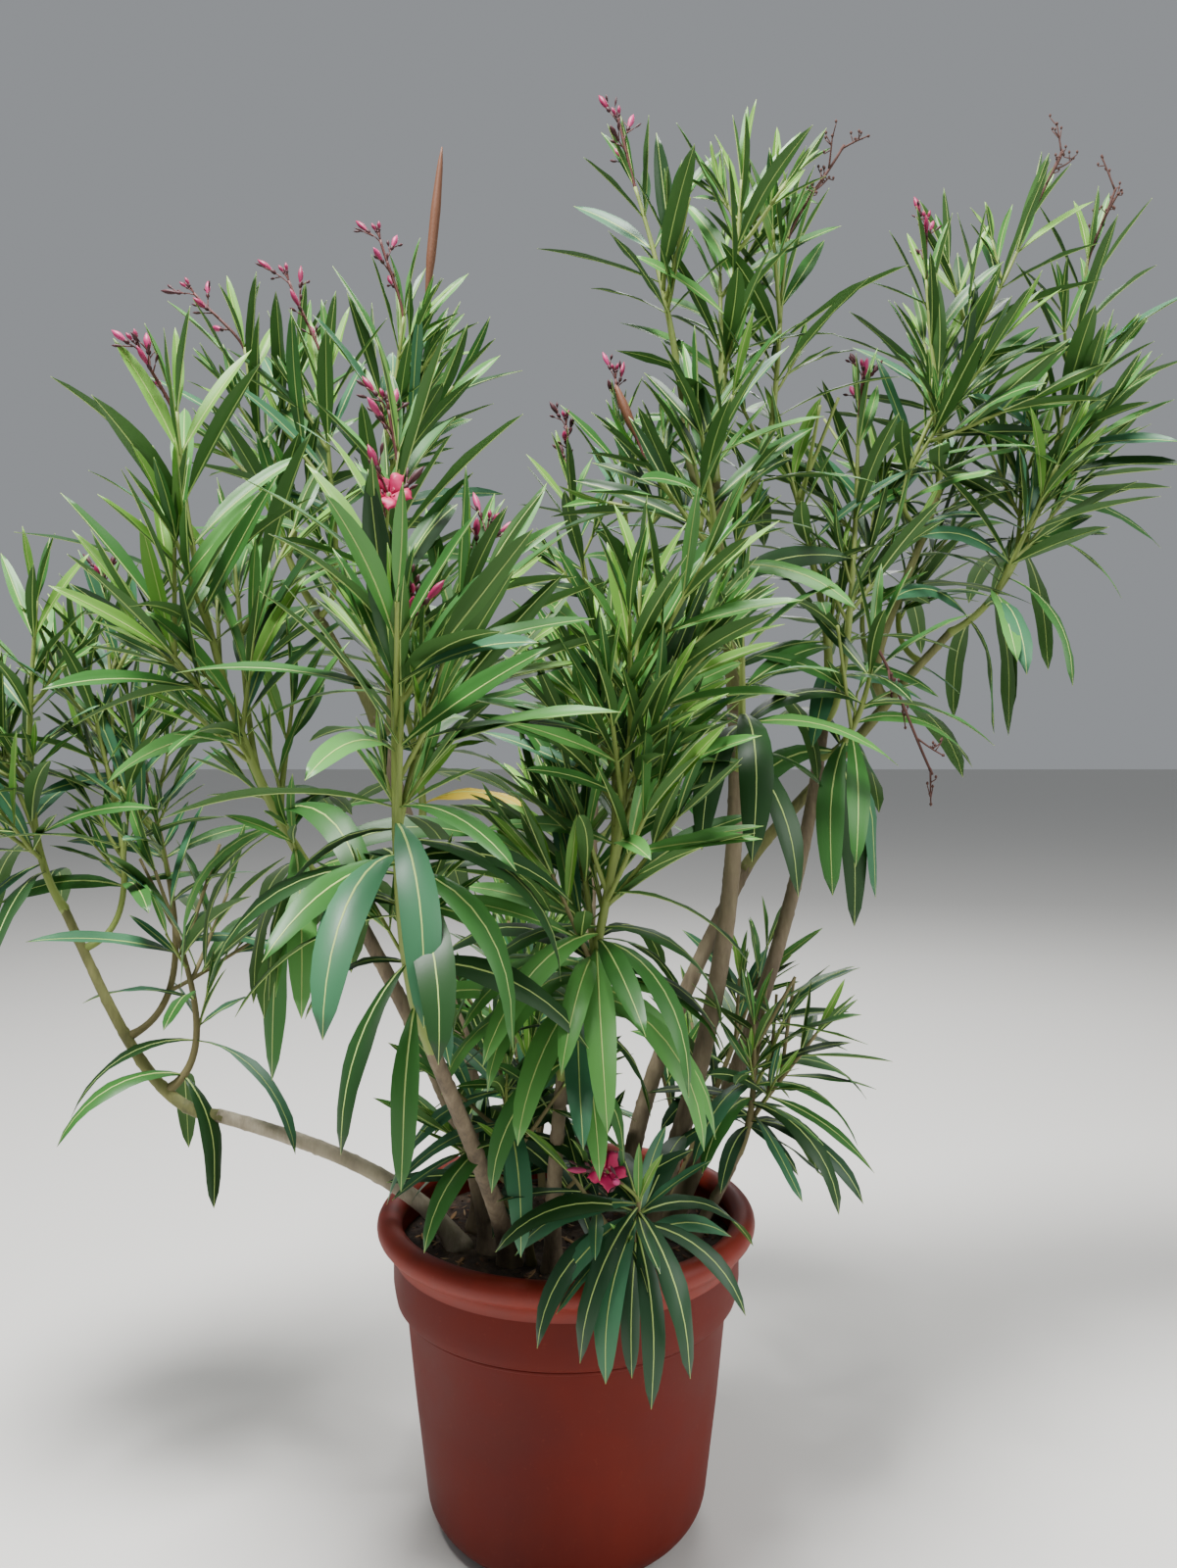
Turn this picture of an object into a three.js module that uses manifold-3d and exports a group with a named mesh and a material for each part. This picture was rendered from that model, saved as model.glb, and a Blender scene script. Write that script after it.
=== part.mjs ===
// Potted oleander: a many-stemmed evergreen shrub in a round plastic tub.
// Millimetres, +Z up. The origin is the middle of the tub's flat underside.
import * as THREE from 'three';
import { mergeVertices } from 'three/addons/utils/BufferGeometryUtils.js';
import Module from 'manifold-3d';

const wasm = await Module();
wasm.setup();

// The tub
const RIM_RADIUS = 260;
const POT_HEIGHT = 435;
const RIM_ROLL = 17;
const COLLAR_RADIUS = 238;
const COLLAR_FOOT_RADIUS = 234;
const COLLAR_FOOT = 317;
const COLLAR_SHOULDER = 345;
const BEAD_RADIUS = 228;
const BEAD_HEIGHT = 6;
const BODY_TOP_RADIUS = 221;
const BODY_SLOPE = 0.105;
const BASE_CORNER = 55;
const BASE_FLAT_RADIUS = 139;
const POT_WALL = 5;
const POT_SIDES = 36;

// The soil in it
const SOIL_EDGE = 381;
const SOIL_CROWN = 390;
const SOIL_KNEE = 0.7;
const SOIL_KNEE_RISE = 0.75;

// Fine clearances
const GAP = 0.3;
const FOOT_CLEARANCE = 1.8;
const WELD = 1e-4;

// Wood
const CANE_SIDES = 8;
const BOUGH_SIDES = 6;
const TWIG_SIDES = 3;
const LIMB_STEPS = 5;
const TWIG_STEP_LENGTH = 95;
const FEWEST_TWIG_STEPS = 2;
const ROOT_FLARE = 7;
const ROOT_FLARE_HEIGHT = 22;
const FOOT_CROWDING = 1.6;
const SET_OUT = 0.22;
const RUN_IN = 0.62;
const BOW_NEAR = 1.2;
const BOW_FAR = 1.4;
const UPWARD_PULL = 0.6;

// Twigs
const THICKEST_TWIG = 7;
const SOIL_TWIG_RADIUS = 6;
const TIP_TWIG_RATIO = 0.94;
const SIDE_TWIG_RATIO = 0.7;
const FORK_RATIO = 0.8;
const TWIG_TIP_RADIUS = 2.2;

// Sprigs, the small side twigs set by the seeded rule
const SPRIG_PLACE = [0.35, 0.8];
const SPRIG_LEAN = [35, 50];
const SPRIG_REACH = [50, 90];
const SPRIG_LIFT = 25;
const SPRIG_GIRTH = [3, 2];
const SPRIG_STEPS = 2;
const SPRIG_WHORLS = 2;
const SPRIG_LEAF_RATIO = 0.62;
const SPRIG_GAP_RATIO = 0.7;

// Leaves, in threes round the shoot
const LEAVES_ROUND = 3;
const LEAF_WIDTH_RATIO = 0.24;
const LEAF_SHARE = 0.46;
const LEAF_THICKNESS_RATIO = 1 / 70;
const LEAF_WIDEST = 0.44;
const LEAF_STEPS = 8;
const LEAF_STEEPEST = THREE.MathUtils.degToRad(86);
const LEAF_LENGTHS = [0.86, 1.08];
const TIP_LEAF_RATIO = 0.55;
const FULL_GROWN_RING = 2.5;
const TIP_LEAN = 13;
const LEAST_LEAN = 0.05;
const LEAST_BEND = 6;
const BENDS = [0.75, 1.25];
const AGE_OPENING = 0.75;
const AGE_BENDING = 1.2;
const TURN_SWAY = [-14, 14];
const LEAN_SWAY = [-8, 8];
const ROLL_OVER = [-35, 35];
const FIRST_WHORL_BELOW = 3;
const WHORL_TURN = 60;
const WHORL_STRETCH = 0.06;
const BARE_FOOT = 0.02;
const OLD_LEAF_LOSS = 0.22;
const FACING_LIGHT = 0.45;
const LIGHT = new THREE.Vector3(0, -0.6, 0.8);

// Skirts, the long old leaves that hang round the lower part of some stems
const SKIRT_TURN = 137.5;
const SKIRT_LEAN = [64, 98];
const SKIRT_BEND_PER_LENGTH = 0.4;
const SKIRT_BENDS = [0.85, 1.15];

// Flower heads
const STALK_GIRTH = [2.2, 1.8];
const BUDS = 4;
const BUD_LENGTH = 44;
const BUD_LENGTHS = [0.9, 1.3];
const BUD_WIDTH = 8;
const BUD_PLACE = [0.4, 0.97];
const BUD_TURN = 2.4;
const BUD_TURN_SWAY = 0.8;
const BUD_LEAN = [18, 42];
const BUD_WIDEST = 0.6;
const DRY_TWIG_WIDTH = 4;
const PETALS = 5;
const PETAL_LENGTH = 21;
const PETAL_NOTCH = 0.6;
const FLOWER_HALF_DEPTH = 4;
const POD_WIDTH_RATIO = 0.06;

const LOOKS = {
  pot: { color: 0x9c3a28, roughness: 0.55, metalness: 0 },
  soil: { color: 0x2c221b, roughness: 0.95, metalness: 0 },
  bark: { color: 0x6f6353, roughness: 0.8, metalness: 0 },
  green_bark: { color: 0x6a7440, roughness: 0.7, metalness: 0 },
  leaves: { color: 0x3f6b35, roughness: 0.5, metalness: 0 },
};

// Limbs. foot: place on the soil; on: the limb it grows from, at its tip or at a fraction of it;
// to: where it ends; bow: how far its middle stands off the straight line; girth: end radii.
const LIMBS = [
  { name: 'cane_left_low', foot: [-150, -35], to: [-475, -30, 566], bow: [0, 0, 24], girth: [12, 9] },
  { name: 'cane_left_rise', on: 'cane_left_low', to: [-680, -30, 850],
    bow: [-14, 0, -16], girth: [8.6, 6] },
  { name: 'cane_left_diagonal', foot: [-103, -55], to: [-244, -200, 853],
    bow: [14, 10, 0], girth: [12, 8] },
  { name: 'cane_left_front', foot: [-74, -90], to: [-145, -315, 735],
    bow: [4, -18, 8], girth: [12, 8] },
  { name: 'cane_left_back', foot: [-125, 25], to: [-275, 55, 1110], bow: [30, 0, 0], girth: [13, 8.5] },
  { name: 'cane_centre', foot: [-15, -110], to: [-1, -200, 672], bow: [-4, -8, 0], girth: [11, 7.5] },
  { name: 'cane_right_tall', foot: [105, 0], to: [230, 0, 1127], bow: [48, 0, 0], girth: [15, 10] },
  { name: 'cane_right_middle', foot: [145, 35], to: [375, 100, 1140],
    bow: [46, 0, 0], girth: [13, 8.5] },
  { name: 'cane_right_back', foot: [85, 85], to: [265, 120, 892], bow: [-20, 0, 10], girth: [13, 9.5] },
  { name: 'cane_back', foot: [20, 110], to: [42, 205, 1140], bow: [0, 20, 0], girth: [12, 7.5] },
  { name: 'cane_right_low', foot: [168, -35], to: [236, -20, 512], bow: [4, 0, 0], girth: [8, 6] },
  { name: 'bough_left_back', on: 'cane_left_back', to: [-360, 55, 1270], girth: [7.4, 5.6] },
  { name: 'bough_left_inner', on: 'cane_left_back', at: 0.97, to: [-262, 0, 1300], girth: [6.6, 5.4] },
  { name: 'bough_right_tall', on: 'cane_right_tall', to: [201, 0, 1431], girth: [9.6, 7.6] },
  { name: 'bough_right_tall_left', on: 'bough_right_tall', at: 0.96, to: [150, -5, 1580],
    girth: [6, 5] },
  { name: 'bough_right_back', on: 'cane_right_back', to: [492, 150, 1151],
    bow: [0, 0, -8], girth: [9, 7.4] },
  { name: 'bough_right_outer', on: 'bough_right_back', to: [575, 162, 1240], girth: [7, 6] },
  { name: 'bough_right_upper', on: 'bough_right_back', at: 0.95, to: [545, 140, 1440],
    girth: [6.6, 5.4] },
];

// Masses of foliage. Each grows from one stem: tip is the stem's end, whorls counts its rings of
// leaves down from there, apart by gap; leaf is the longest leaf, spread how far the oldest leaves
// open from the stem and droop how far they bend, in degrees. forks are its side shoots, and skirt
// is the long old leaves that hang from part of its stem.
const MASSES = [
  { name: 'foliage_left_low_outer', on: 'cane_left_rise', tip: [-700, -50, 1262], bow: [-18, 0, 0],
    skirt: { place: [0.1, 0.35], leaves: 4, leaf: 200 },
    whorls: 8, gap: 42, leaf: 185, spread: 78, droop: 50, sprigs: 1,
    forks: [{ at: 0.3, tip: [-800, -30, 1140], whorls: 6 }] },
  { name: 'foliage_left_low_middle', on: 'cane_left_rise', at: 0.86, tip: [-668, 12, 1200],
    bow: [10, 10, 0], whorls: 7, gap: 42, leaf: 180, spread: 72, droop: 40, sprigs: 1,
    forks: [
      { at: 0.5, tip: [-655, 65, 1260], whorls: 3, bloom: { kind: 'buds', to: [-660, 70, 1310] } },
    ] },
  { name: 'foliage_left_low_inner', on: 'cane_left_rise', at: 0.54, tip: [-622, 60, 1135],
    bow: [14, 18, 0], whorls: 7, gap: 45, leaf: 175, spread: 78, droop: 45, sprigs: 1 },
  { name: 'foliage_left_low_skirt', on: 'cane_left_rise', at: 0.28, tip: [-560, -20, 900],
    bow: [18, 10, 0], whorls: 6, gap: 50, leaf: 215, spread: 98, droop: 80, sprigs: 0 },
  { name: 'foliage_left_diagonal', on: 'cane_left_diagonal', tip: [-425, -300, 1440],
    bow: [-42, -22, -14],
    skirt: { place: [0.14, 0.36], leaves: 8, leaf: 240 },
    whorls: 13, gap: 40, leaf: 205, spread: 100, droop: 80, sprigs: 2,
    bloom: { kind: 'buds', to: [-462, -305, 1505] },
    forks: [
      { at: 0.44, tip: [-440, -360, 1205], whorls: 3 },
      { at: 0.4, tip: [-392, -205, 1290], whorls: 4 },
      { at: 0.3, tip: [-322, -215, 1120], whorls: 2 },
    ] },
  { name: 'foliage_left_front', on: 'cane_left_front', tip: [-165, -400, 1372], bow: [0, -58, 0],
    skirt: { place: [0.34, 0.5], leaves: 11, leaf: 255 },
    whorls: 13, gap: 40, leaf: 215, spread: 104, droop: 88, sprigs: 2,
    bloom: { kind: 'buds', to: [-174, -398, 1415] },
    forks: [
      { at: 0.45, tip: [-100, -355, 1245], whorls: 5, bloom: { kind: 'buds', to: [-78, -350, 1300] } },
      { at: 0.42, tip: [-150, -470, 1165], whorls: 3, bloom: { kind: 'buds', to: [-138, -480, 1205] } },
      { at: 0.58, tip: [-170, -445, 1270], whorls: 3, bloom: { kind: 'flower', to: [-164, -462, 1318] } },
    ] },
  { name: 'foliage_left_back_outer', on: 'bough_left_back', tip: [-450, 50, 1625], bow: [-12, 0, 0],
    whorls: 8, gap: 38, leaf: 190, spread: 72, droop: 35, sprigs: 1,
    bloom: { kind: 'buds', to: [-520, 50, 1700] },
    forks: [{ at: 0.3, tip: [-440, 130, 1500], whorls: 5 }] },
  { name: 'foliage_left_back_middle', on: 'bough_left_back', at: 0.9, tip: [-318, -25, 1560],
    bow: [0, -20, 0], whorls: 8, gap: 36, leaf: 190, spread: 70, droop: 35, sprigs: 1,
    bloom: { kind: 'buds', to: [-370, -20, 1690] } },
  { name: 'foliage_left_back_top', on: 'bough_left_inner', tip: [-220, 0, 1650], bow: [0, 0, 0],
    whorls: 8, gap: 40, leaf: 190, spread: 72, droop: 35, sprigs: 1,
    bloom: { kind: 'buds', to: [-250, -5, 1750] },
    forks: [
      { at: 0.25, tip: [-203, 20, 1560], whorls: 6, bloom: { kind: 'pod', to: [-167, 0, 1875] } },
    ] },
  { name: 'foliage_left_back_low', on: 'cane_left_back', at: 0.8, tip: [-300, 215, 1330], bow: [0, 30, 0],
    whorls: 8, gap: 42, leaf: 195, spread: 84, droop: 50, sprigs: 1,
    forks: [{ at: 0.35, tip: [-190, 235, 1240], whorls: 5 }] },
  { name: 'foliage_centre', on: 'cane_centre', tip: [90, -240, 1262], bow: [22, -22, 0],
    skirt: { place: [0.14, 0.38], leaves: 12, leaf: 240 },
    whorls: 12, gap: 40, leaf: 190, spread: 102, droop: 76, sprigs: 2,
    forks: [
      { at: 0.3, tip: [4, -205, 1050], whorls: 5 },
      { at: 0.45, tip: [146, -190, 1215], whorls: 5 },
      { at: 0.5, tip: [60, -180, 1180], whorls: 3 },
    ] },
  { name: 'foliage_right_tall_top', on: 'bough_right_tall', tip: [234, -20, 1822], bow: [6, 0, 0],
    whorls: 9, gap: 36, leaf: 180, spread: 72, droop: 30, sprigs: 1,
    forks: [{ at: 0.35, tip: [215, 60, 1730], whorls: 5 }] },
  { name: 'foliage_right_tall_left', on: 'bough_right_tall_left', tip: [93, 0, 1822], bow: [6, 0, 0],
    whorls: 7, gap: 36, leaf: 180, spread: 66, droop: 25, sprigs: 1,
    bloom: { kind: 'buds', to: [72, 0, 1905] } },
  { name: 'foliage_right_tall_right', on: 'bough_right_tall', at: 0.9, tip: [306, 40, 1770],
    bow: [12, 20, 0], whorls: 8, gap: 38, leaf: 190, spread: 66, droop: 28, sprigs: 1,
    bloom: { kind: 'dry', to: [384, 45, 1900] } },
  { name: 'foliage_right_tall_front', on: 'bough_right_tall', at: 0.55, tip: [168, -105, 1500],
    bow: [0, -22, 0], whorls: 7, gap: 34, leaf: 185, spread: 86, droop: 45, sprigs: 1,
    forks: [{ at: 0.3, tip: [108, -40, 1440], whorls: 4 }] },
  { name: 'foliage_right_tall_skirt', on: 'cane_right_tall', at: 0.9, tip: [228, -95, 1230],
    bow: [0, -20, 0],
    skirt: { place: [0.1, 0.7], leaves: 6, leaf: 240 },
    whorls: 5, gap: 38, leaf: 225, spread: 100, droop: 85, sprigs: 0 },
  { name: 'foliage_right_middle_left', on: 'cane_right_middle', tip: [304, 50, 1480], bow: [10, 0, 0],
    whorls: 8, gap: 36, leaf: 180, spread: 84, droop: 50, sprigs: 1 },
  { name: 'foliage_right_middle_top', on: 'cane_right_middle', at: 0.96, tip: [420, 100, 1545],
    bow: [10, 0, 0], whorls: 8, gap: 40, leaf: 180, spread: 76, droop: 40, sprigs: 1,
    bloom: { kind: 'buds', to: [424, 95, 1600] } },
  { name: 'foliage_right_middle_skirt', on: 'cane_right_middle', at: 0.9, tip: [420, 0, 1200],
    bow: [12, -22, 0],
    skirt: { place: [0.1, 0.7], leaves: 6, leaf: 250 },
    whorls: 5, gap: 36, leaf: 235, spread: 100, droop: 90, sprigs: 0,
    bloom: { kind: 'dry', to: [500, -10, 1030] } },
  { name: 'foliage_right_upper_left', on: 'bough_right_upper', tip: [521, 120, 1745], bow: [0, 0, 0],
    whorls: 7, gap: 38, leaf: 180, spread: 66, droop: 28, sprigs: 1,
    bloom: { kind: 'buds', to: [520, 120, 1820] } },
  { name: 'foliage_right_upper_right', on: 'bough_right_upper', at: 0.86, tip: [678, 140, 1840],
    bow: [-6, 0, -10], whorls: 9, gap: 42, leaf: 185, spread: 74, droop: 32, sprigs: 1,
    bloom: { kind: 'dry', to: [724, 140, 1940] },
    forks: [{ at: 0.3, tip: [610, 70, 1640], whorls: 5 }] },
  { name: 'foliage_right_upper_back', on: 'bough_right_upper', at: 0.3, tip: [486, 235, 1510],
    bow: [0, 30, 0], whorls: 8, gap: 38, leaf: 185, spread: 78, droop: 40, sprigs: 1 },
  { name: 'foliage_right_outer', on: 'bough_right_outer', tip: [776, 170, 1795], bow: [34, 0, -28],
    skirt: { place: [0.12, 0.4], leaves: 6, leaf: 225 },
    whorls: 11, gap: 44, leaf: 200, spread: 100, droop: 66, sprigs: 2,
    bloom: { kind: 'dry', to: [812, 160, 1895] },
    forks: [
      { at: 0.3, tip: [705, 225, 1560], whorls: 4 },
      { at: 0.2, tip: [700, 80, 1470], whorls: 4 },
    ] },
  { name: 'foliage_right_outer_back', on: 'bough_right_outer', at: 0.52, tip: [640, 265, 1600],
    bow: [0, 40, 0], whorls: 8, gap: 40, leaf: 185, spread: 82, droop: 42, sprigs: 1 },
  { name: 'foliage_back_left', on: 'cane_back', tip: [0, 215, 1470], bow: [4, 8, 0],
    whorls: 8, gap: 36, leaf: 175, spread: 78, droop: 40, sprigs: 1,
    bloom: { kind: 'buds', to: [-4, 212, 1560] } },
  { name: 'foliage_back_right', on: 'cane_back', at: 0.95, tip: [78, 215, 1545], bow: [10, 10, 0],
    whorls: 7, gap: 40, leaf: 175, spread: 72, droop: 38, sprigs: 1,
    bloom: { kind: 'buds', to: [72, 210, 1630] } },
  { name: 'foliage_back_outer', on: 'cane_back', at: 0.75, tip: [120, 330, 1300], bow: [10, 34, 0],
    skirt: { place: [0.2, 0.5], leaves: 6, leaf: 220 },
    whorls: 8, gap: 42, leaf: 195, spread: 90, droop: 60, sprigs: 1,
    forks: [{ at: 0.35, tip: [-40, 345, 1200], whorls: 5 }] },
  { name: 'foliage_right_low', on: 'cane_right_low', tip: [256, -25, 690], bow: [6, 0, 0],
    skirt: { place: [0.2, 0.75], leaves: 6, leaf: 195 },
    whorls: 5, gap: 30, leaf: 170, spread: 92, droop: 34, sprigs: 1,
    forks: [{ at: 0.25, tip: [345, -5, 672], whorls: 5 }] },
  { name: 'foliage_right_low_back', foot: [150, 95], tip: [300, 150, 765], bow: [10, 10, 0],
    whorls: 6, gap: 38, leaf: 165, spread: 86, droop: 40, sprigs: 1 },
  { name: 'foliage_front_low', foot: [85, -160], tip: [88, -282, 548], bow: [0, -18, 8],
    skirt: { place: [0.7, 0.97], leaves: 11, leaf: 190 },
    whorls: 4, gap: 24, leaf: 165, spread: 96, droop: 40, sprigs: 0,
    bloom: { kind: 'flower', to: [50, -305, 592] } },
  { name: 'foliage_low_left', foot: [-45, -95], tip: [-78, -190, 675], bow: [0, -8, 0],
    skirt: { place: [0.5, 0.95], leaves: 10, leaf: 205 },
    whorls: 4, gap: 32, leaf: 180, spread: 92, droop: 62, sprigs: 0 },
  { name: 'foliage_low_middle', foot: [-55, 40], tip: [-84, 55, 820], bow: [0, 6, 0],
    skirt: { place: [0.3, 0.6], leaves: 5, leaf: 190 },
    whorls: 9, gap: 34, leaf: 170, spread: 88, droop: 46, sprigs: 1 },
  { name: 'foliage_low_back', foot: [-40, 150], tip: [-90, 265, 780], bow: [0, 14, 0],
    whorls: 8, gap: 38, leaf: 180, spread: 90, droop: 52, sprigs: 1 },
];

const DEGREE = Math.PI / 180;
const UP = new THREE.Vector3(0, 0, 1);
const FIRST_SEED = 1000;
const vec = (xyz) => new THREE.Vector3(...xyz);
const mix = THREE.MathUtils.lerp;
const between = (range, share) => mix(range[0], range[1], share);

// Seeded numbers from 0 to 1, the same on every run
function dice(seed) {
  let state = seed >>> 0;
  return () => {
    state = (state + 0x6d2b79f5) >>> 0;
    let t = Math.imul(state ^ (state >>> 15), state | 1);
    t ^= t + Math.imul(t ^ (t >>> 7), t | 61);
    return ((t ^ (t >>> 14)) >>> 0) / 4294967296;
  };
}

// A closed solid from a geometry, and back
function toSolid(geometry) {
  const bare = geometry.clone();
  bare.deleteAttribute('normal');
  bare.deleteAttribute('uv');
  const merged = mergeVertices(bare, WELD);
  const vertProperties = Float32Array.from(merged.attributes.position.array);
  const corners = Uint32Array.from(merged.index.array);
  const solidOf = (triVerts) => (
    new wasm.Manifold(new wasm.Mesh({ numProp: 3, vertProperties, triVerts }))
  );
  const solid = solidOf(corners);
  return solid.volume() > 0 ? solid : solidOf(corners.map((_, i) => corners[i + 2 - 2 * (i % 3)]));
}

function toGeometry(solid) {
  const mesh = solid.getMesh();
  const geometry = new THREE.BufferGeometry();
  const corners = Float32Array.from(mesh.vertProperties);
  geometry.setAttribute('position', new THREE.BufferAttribute(corners, 3));
  geometry.setIndex(new THREE.BufferAttribute(Uint32Array.from(mesh.triVerts), 1));
  geometry.computeVertexNormals();
  return geometry;
}

// One body from many: sealed hollows are filled and loose scraps dropped
function fuse(solids) {
  const pieces = wasm.Manifold.union(solids).decompose();
  return pieces.reduce((a, b) => (b.volume() > a.volume() ? b : a));
}

// A three.js primitive with each of its points moved by a rule
function shaped(geometry, place) {
  const position = geometry.attributes.position;
  const point = new THREE.Vector3();
  for (let i = 0; i < position.count; i += 1) {
    point.fromBufferAttribute(position, i);
    position.setXYZ(i, ...place(point).toArray());
  }
  return toSolid(geometry);
}

// Curves that wood follows: out along the start direction, then on to the end, off the straight
// line by the bow
function growthLine(start, direction, end, bow) {
  const span = start.distanceTo(end);
  const second = start.clone().addScaledVector(direction, span * SET_OUT);
  const third = start.clone().lerp(end, RUN_IN);
  const push = vec(bow ?? [0, 0, 0]);
  second.addScaledVector(push, BOW_NEAR);
  third.addScaledVector(push, BOW_FAR);
  return new THREE.CubicBezierCurve3(start, second, third, end);
}

// A tapering limb of a few sides along a curve. Its first end faces the way it sets out, and a
// foot is cut flat and level, with root flare.
function taperedLimb(line, girth, sides, steps, outset, onGround = false) {
  const crowd = onGround ? FOOT_CROWDING : 1;
  const span = line.getLength();
  let normal = new THREE.Vector3(0, 1, 0);
  const rings = Array.from({ length: steps + 1 }, (_, i) => {
    const t = (i / steps) ** crowd;
    const tangent = i === 0 ? outset : line.getTangent(t);
    const side = new THREE.Vector3().crossVectors(normal, tangent).normalize();
    normal = new THREE.Vector3().crossVectors(tangent, side);
    const flare = onGround ? ROOT_FLARE * Math.exp((-t * span) / ROOT_FLARE_HEIGHT) : 0;
    return { centre: line.getPoint(t), tangent, side, normal, radius: between(girth, t) + flare };
  });
  return shaped(new THREE.CylinderGeometry(1, 1, 1, sides, steps), (point) => {
    const ring = rings[Math.round((point.y + 0.5) * steps)];
    const placed = ring.centre.clone()
      .addScaledVector(ring.side, point.x * ring.radius)
      .addScaledVector(ring.normal, point.z * ring.radius);
    if (onGround && ring === rings[0]) {
      placed.addScaledVector(ring.tangent, (ring.centre.z - placed.z) / ring.tangent.z);
    }
    return placed;
  });
}

// The line down the middle of a leaf: it sets out along a direction and bends down with its weight
function leafLine(root, direction, length, bend) {
  const heading = new THREE.Vector3(direction.x, direction.y, 0).normalize();
  const rise = Math.asin(THREE.MathUtils.clamp(direction.z, -1, 1));
  const points = [root.clone()];
  for (let i = 0; i < LEAF_STEPS; i += 1) {
    const slope = Math.max(rise - (bend * (i + 0.5)) / LEAF_STEPS, -LEAF_STEEPEST);
    const step = heading.clone().multiplyScalar(Math.cos(slope)).addScaledVector(UP, Math.sin(slope));
    points.push(points[i].clone().addScaledVector(step, length / LEAF_STEPS));
  }
  return points;
}

// A leaf, bud or pod: a six-faced blade, pointed at both ends, with a low ridge down its middle
function blade(points, across, width, thickness, widest = LEAF_WIDEST) {
  const at = widest * (points.length - 1);
  const index = Math.floor(at);
  const middle = points[index].clone().lerp(points[index + 1], at - index);
  const along = points[index + 1].clone().sub(points[index]).normalize();
  const side = across.clone().addScaledVector(along, -across.dot(along)).normalize();
  const face = new THREE.Vector3().crossVectors(side, along);
  return shaped(new THREE.SphereGeometry(1, 3, 2), (point) => {
    if (point.y > 0.5) return points[points.length - 1].clone();
    if (point.y < -0.5) return points[0].clone();
    const ridge = point.x < -0.9;
    const left = point.z > 0 ? 1 : -1;
    return middle.clone().addScaledVector(ridge ? face : side, ridge ? thickness : (left * width) / 2);
  });
}

// A direction that leans from an axis by an angle, turned round it
function leaning(axis, turn, lean) {
  const reference = Math.abs(axis.z) > 0.9 ? new THREE.Vector3(1, 0, 0) : UP;
  const side = new THREE.Vector3().crossVectors(axis, reference);
  side.normalize().applyAxisAngle(axis, turn);
  return axis.clone().multiplyScalar(Math.cos(lean)).addScaledVector(side, Math.sin(lean));
}

// The tub: floor, rounded foot, tapered body, bead, collar and rolled rim, all one wall
function arc(x, y, radius, from, to, pieces) {
  return new THREE.EllipseCurve(x, y, radius, radius, from, to, false).getPoints(pieces);
}

function footLine(inset, pieces) {
  const end = -Math.atan(BODY_SLOPE);
  const corner = arc(BASE_FLAT_RADIUS, BASE_CORNER, BASE_CORNER - inset, -Math.PI / 2, end, pieces);
  return [new THREE.Vector2(0, inset), ...corner];
}

function innerLine(inset) {
  return [
    ...footLine(inset, 3),
    new THREE.Vector2(BODY_TOP_RADIUS - inset, COLLAR_FOOT - BEAD_HEIGHT),
    new THREE.Vector2(COLLAR_FOOT_RADIUS - inset, COLLAR_FOOT + POT_WALL),
    new THREE.Vector2(COLLAR_RADIUS - inset, COLLAR_SHOULDER + POT_WALL),
  ];
}

function potProfile() {
  const rollX = RIM_RADIUS - RIM_ROLL;
  const rollZ = POT_HEIGHT - RIM_ROLL;
  const angleAt = (radius) => -Math.acos((radius - rollX) / RIM_ROLL);
  const innerAngle = angleAt(COLLAR_RADIUS - POT_WALL) + 2 * Math.PI;
  return [
    ...footLine(0, 6),
    new THREE.Vector2(BODY_TOP_RADIUS, COLLAR_FOOT - BEAD_HEIGHT),
    new THREE.Vector2(BEAD_RADIUS, COLLAR_FOOT - BEAD_HEIGHT),
    new THREE.Vector2(BEAD_RADIUS, COLLAR_FOOT),
    new THREE.Vector2(COLLAR_FOOT_RADIUS, COLLAR_FOOT),
    new THREE.Vector2(COLLAR_RADIUS, COLLAR_SHOULDER),
    ...arc(rollX, rollZ, RIM_ROLL, angleAt(COLLAR_RADIUS), innerAngle, 10),
    ...innerLine(POT_WALL).reverse(),
  ];
}

function turned(profile, sides) {
  const lathe = new THREE.LatheGeometry(profile, sides);
  lathe.rotateX(Math.PI / 2);
  return toSolid(lathe);
}

function soilProfile() {
  const inset = POT_WALL + GAP;
  return [
    ...innerLine(inset),
    new THREE.Vector2(COLLAR_RADIUS - inset, SOIL_EDGE),
    new THREE.Vector2((COLLAR_RADIUS - inset) * SOIL_KNEE, mix(SOIL_EDGE, SOIL_CROWN, SOIL_KNEE_RISE)),
    new THREE.Vector2(0, SOIL_CROWN),
  ];
}

function soilHeight(x, y) {
  const edge = COLLAR_RADIUS - POT_WALL - GAP;
  const knee = SOIL_KNEE * edge;
  const kneeHeight = mix(SOIL_EDGE, SOIL_CROWN, SOIL_KNEE_RISE);
  const reach = Math.hypot(x, y);
  if (reach < knee) return mix(SOIL_CROWN, kneeHeight, reach / knee);
  return mix(kneeHeight, SOIL_EDGE, (reach - knee) / (edge - knee));
}

// The place in the heart of a limb or twig and its direction there. It is straight between rings.
function heartOf({ line, steps, foot }, t) {
  const crowd = foot ? FOOT_CROWDING : 1;
  const step = Math.min(Math.floor(t ** (1 / crowd) * steps), steps - 1);
  const ends = [step, step + 1].map((ring) => (ring / steps) ** crowd);
  const [from, to] = ends.map((end) => line.getPoint(end));
  const place = from.clone().lerp(to, (t - ends[0]) / (ends[1] - ends[0]));
  return { place, axis: to.sub(from).normalize() };
}

// Where a limb or stem begins: on the soil, at its parent's tip, or on its parent's side
const lines = new Map();

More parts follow.
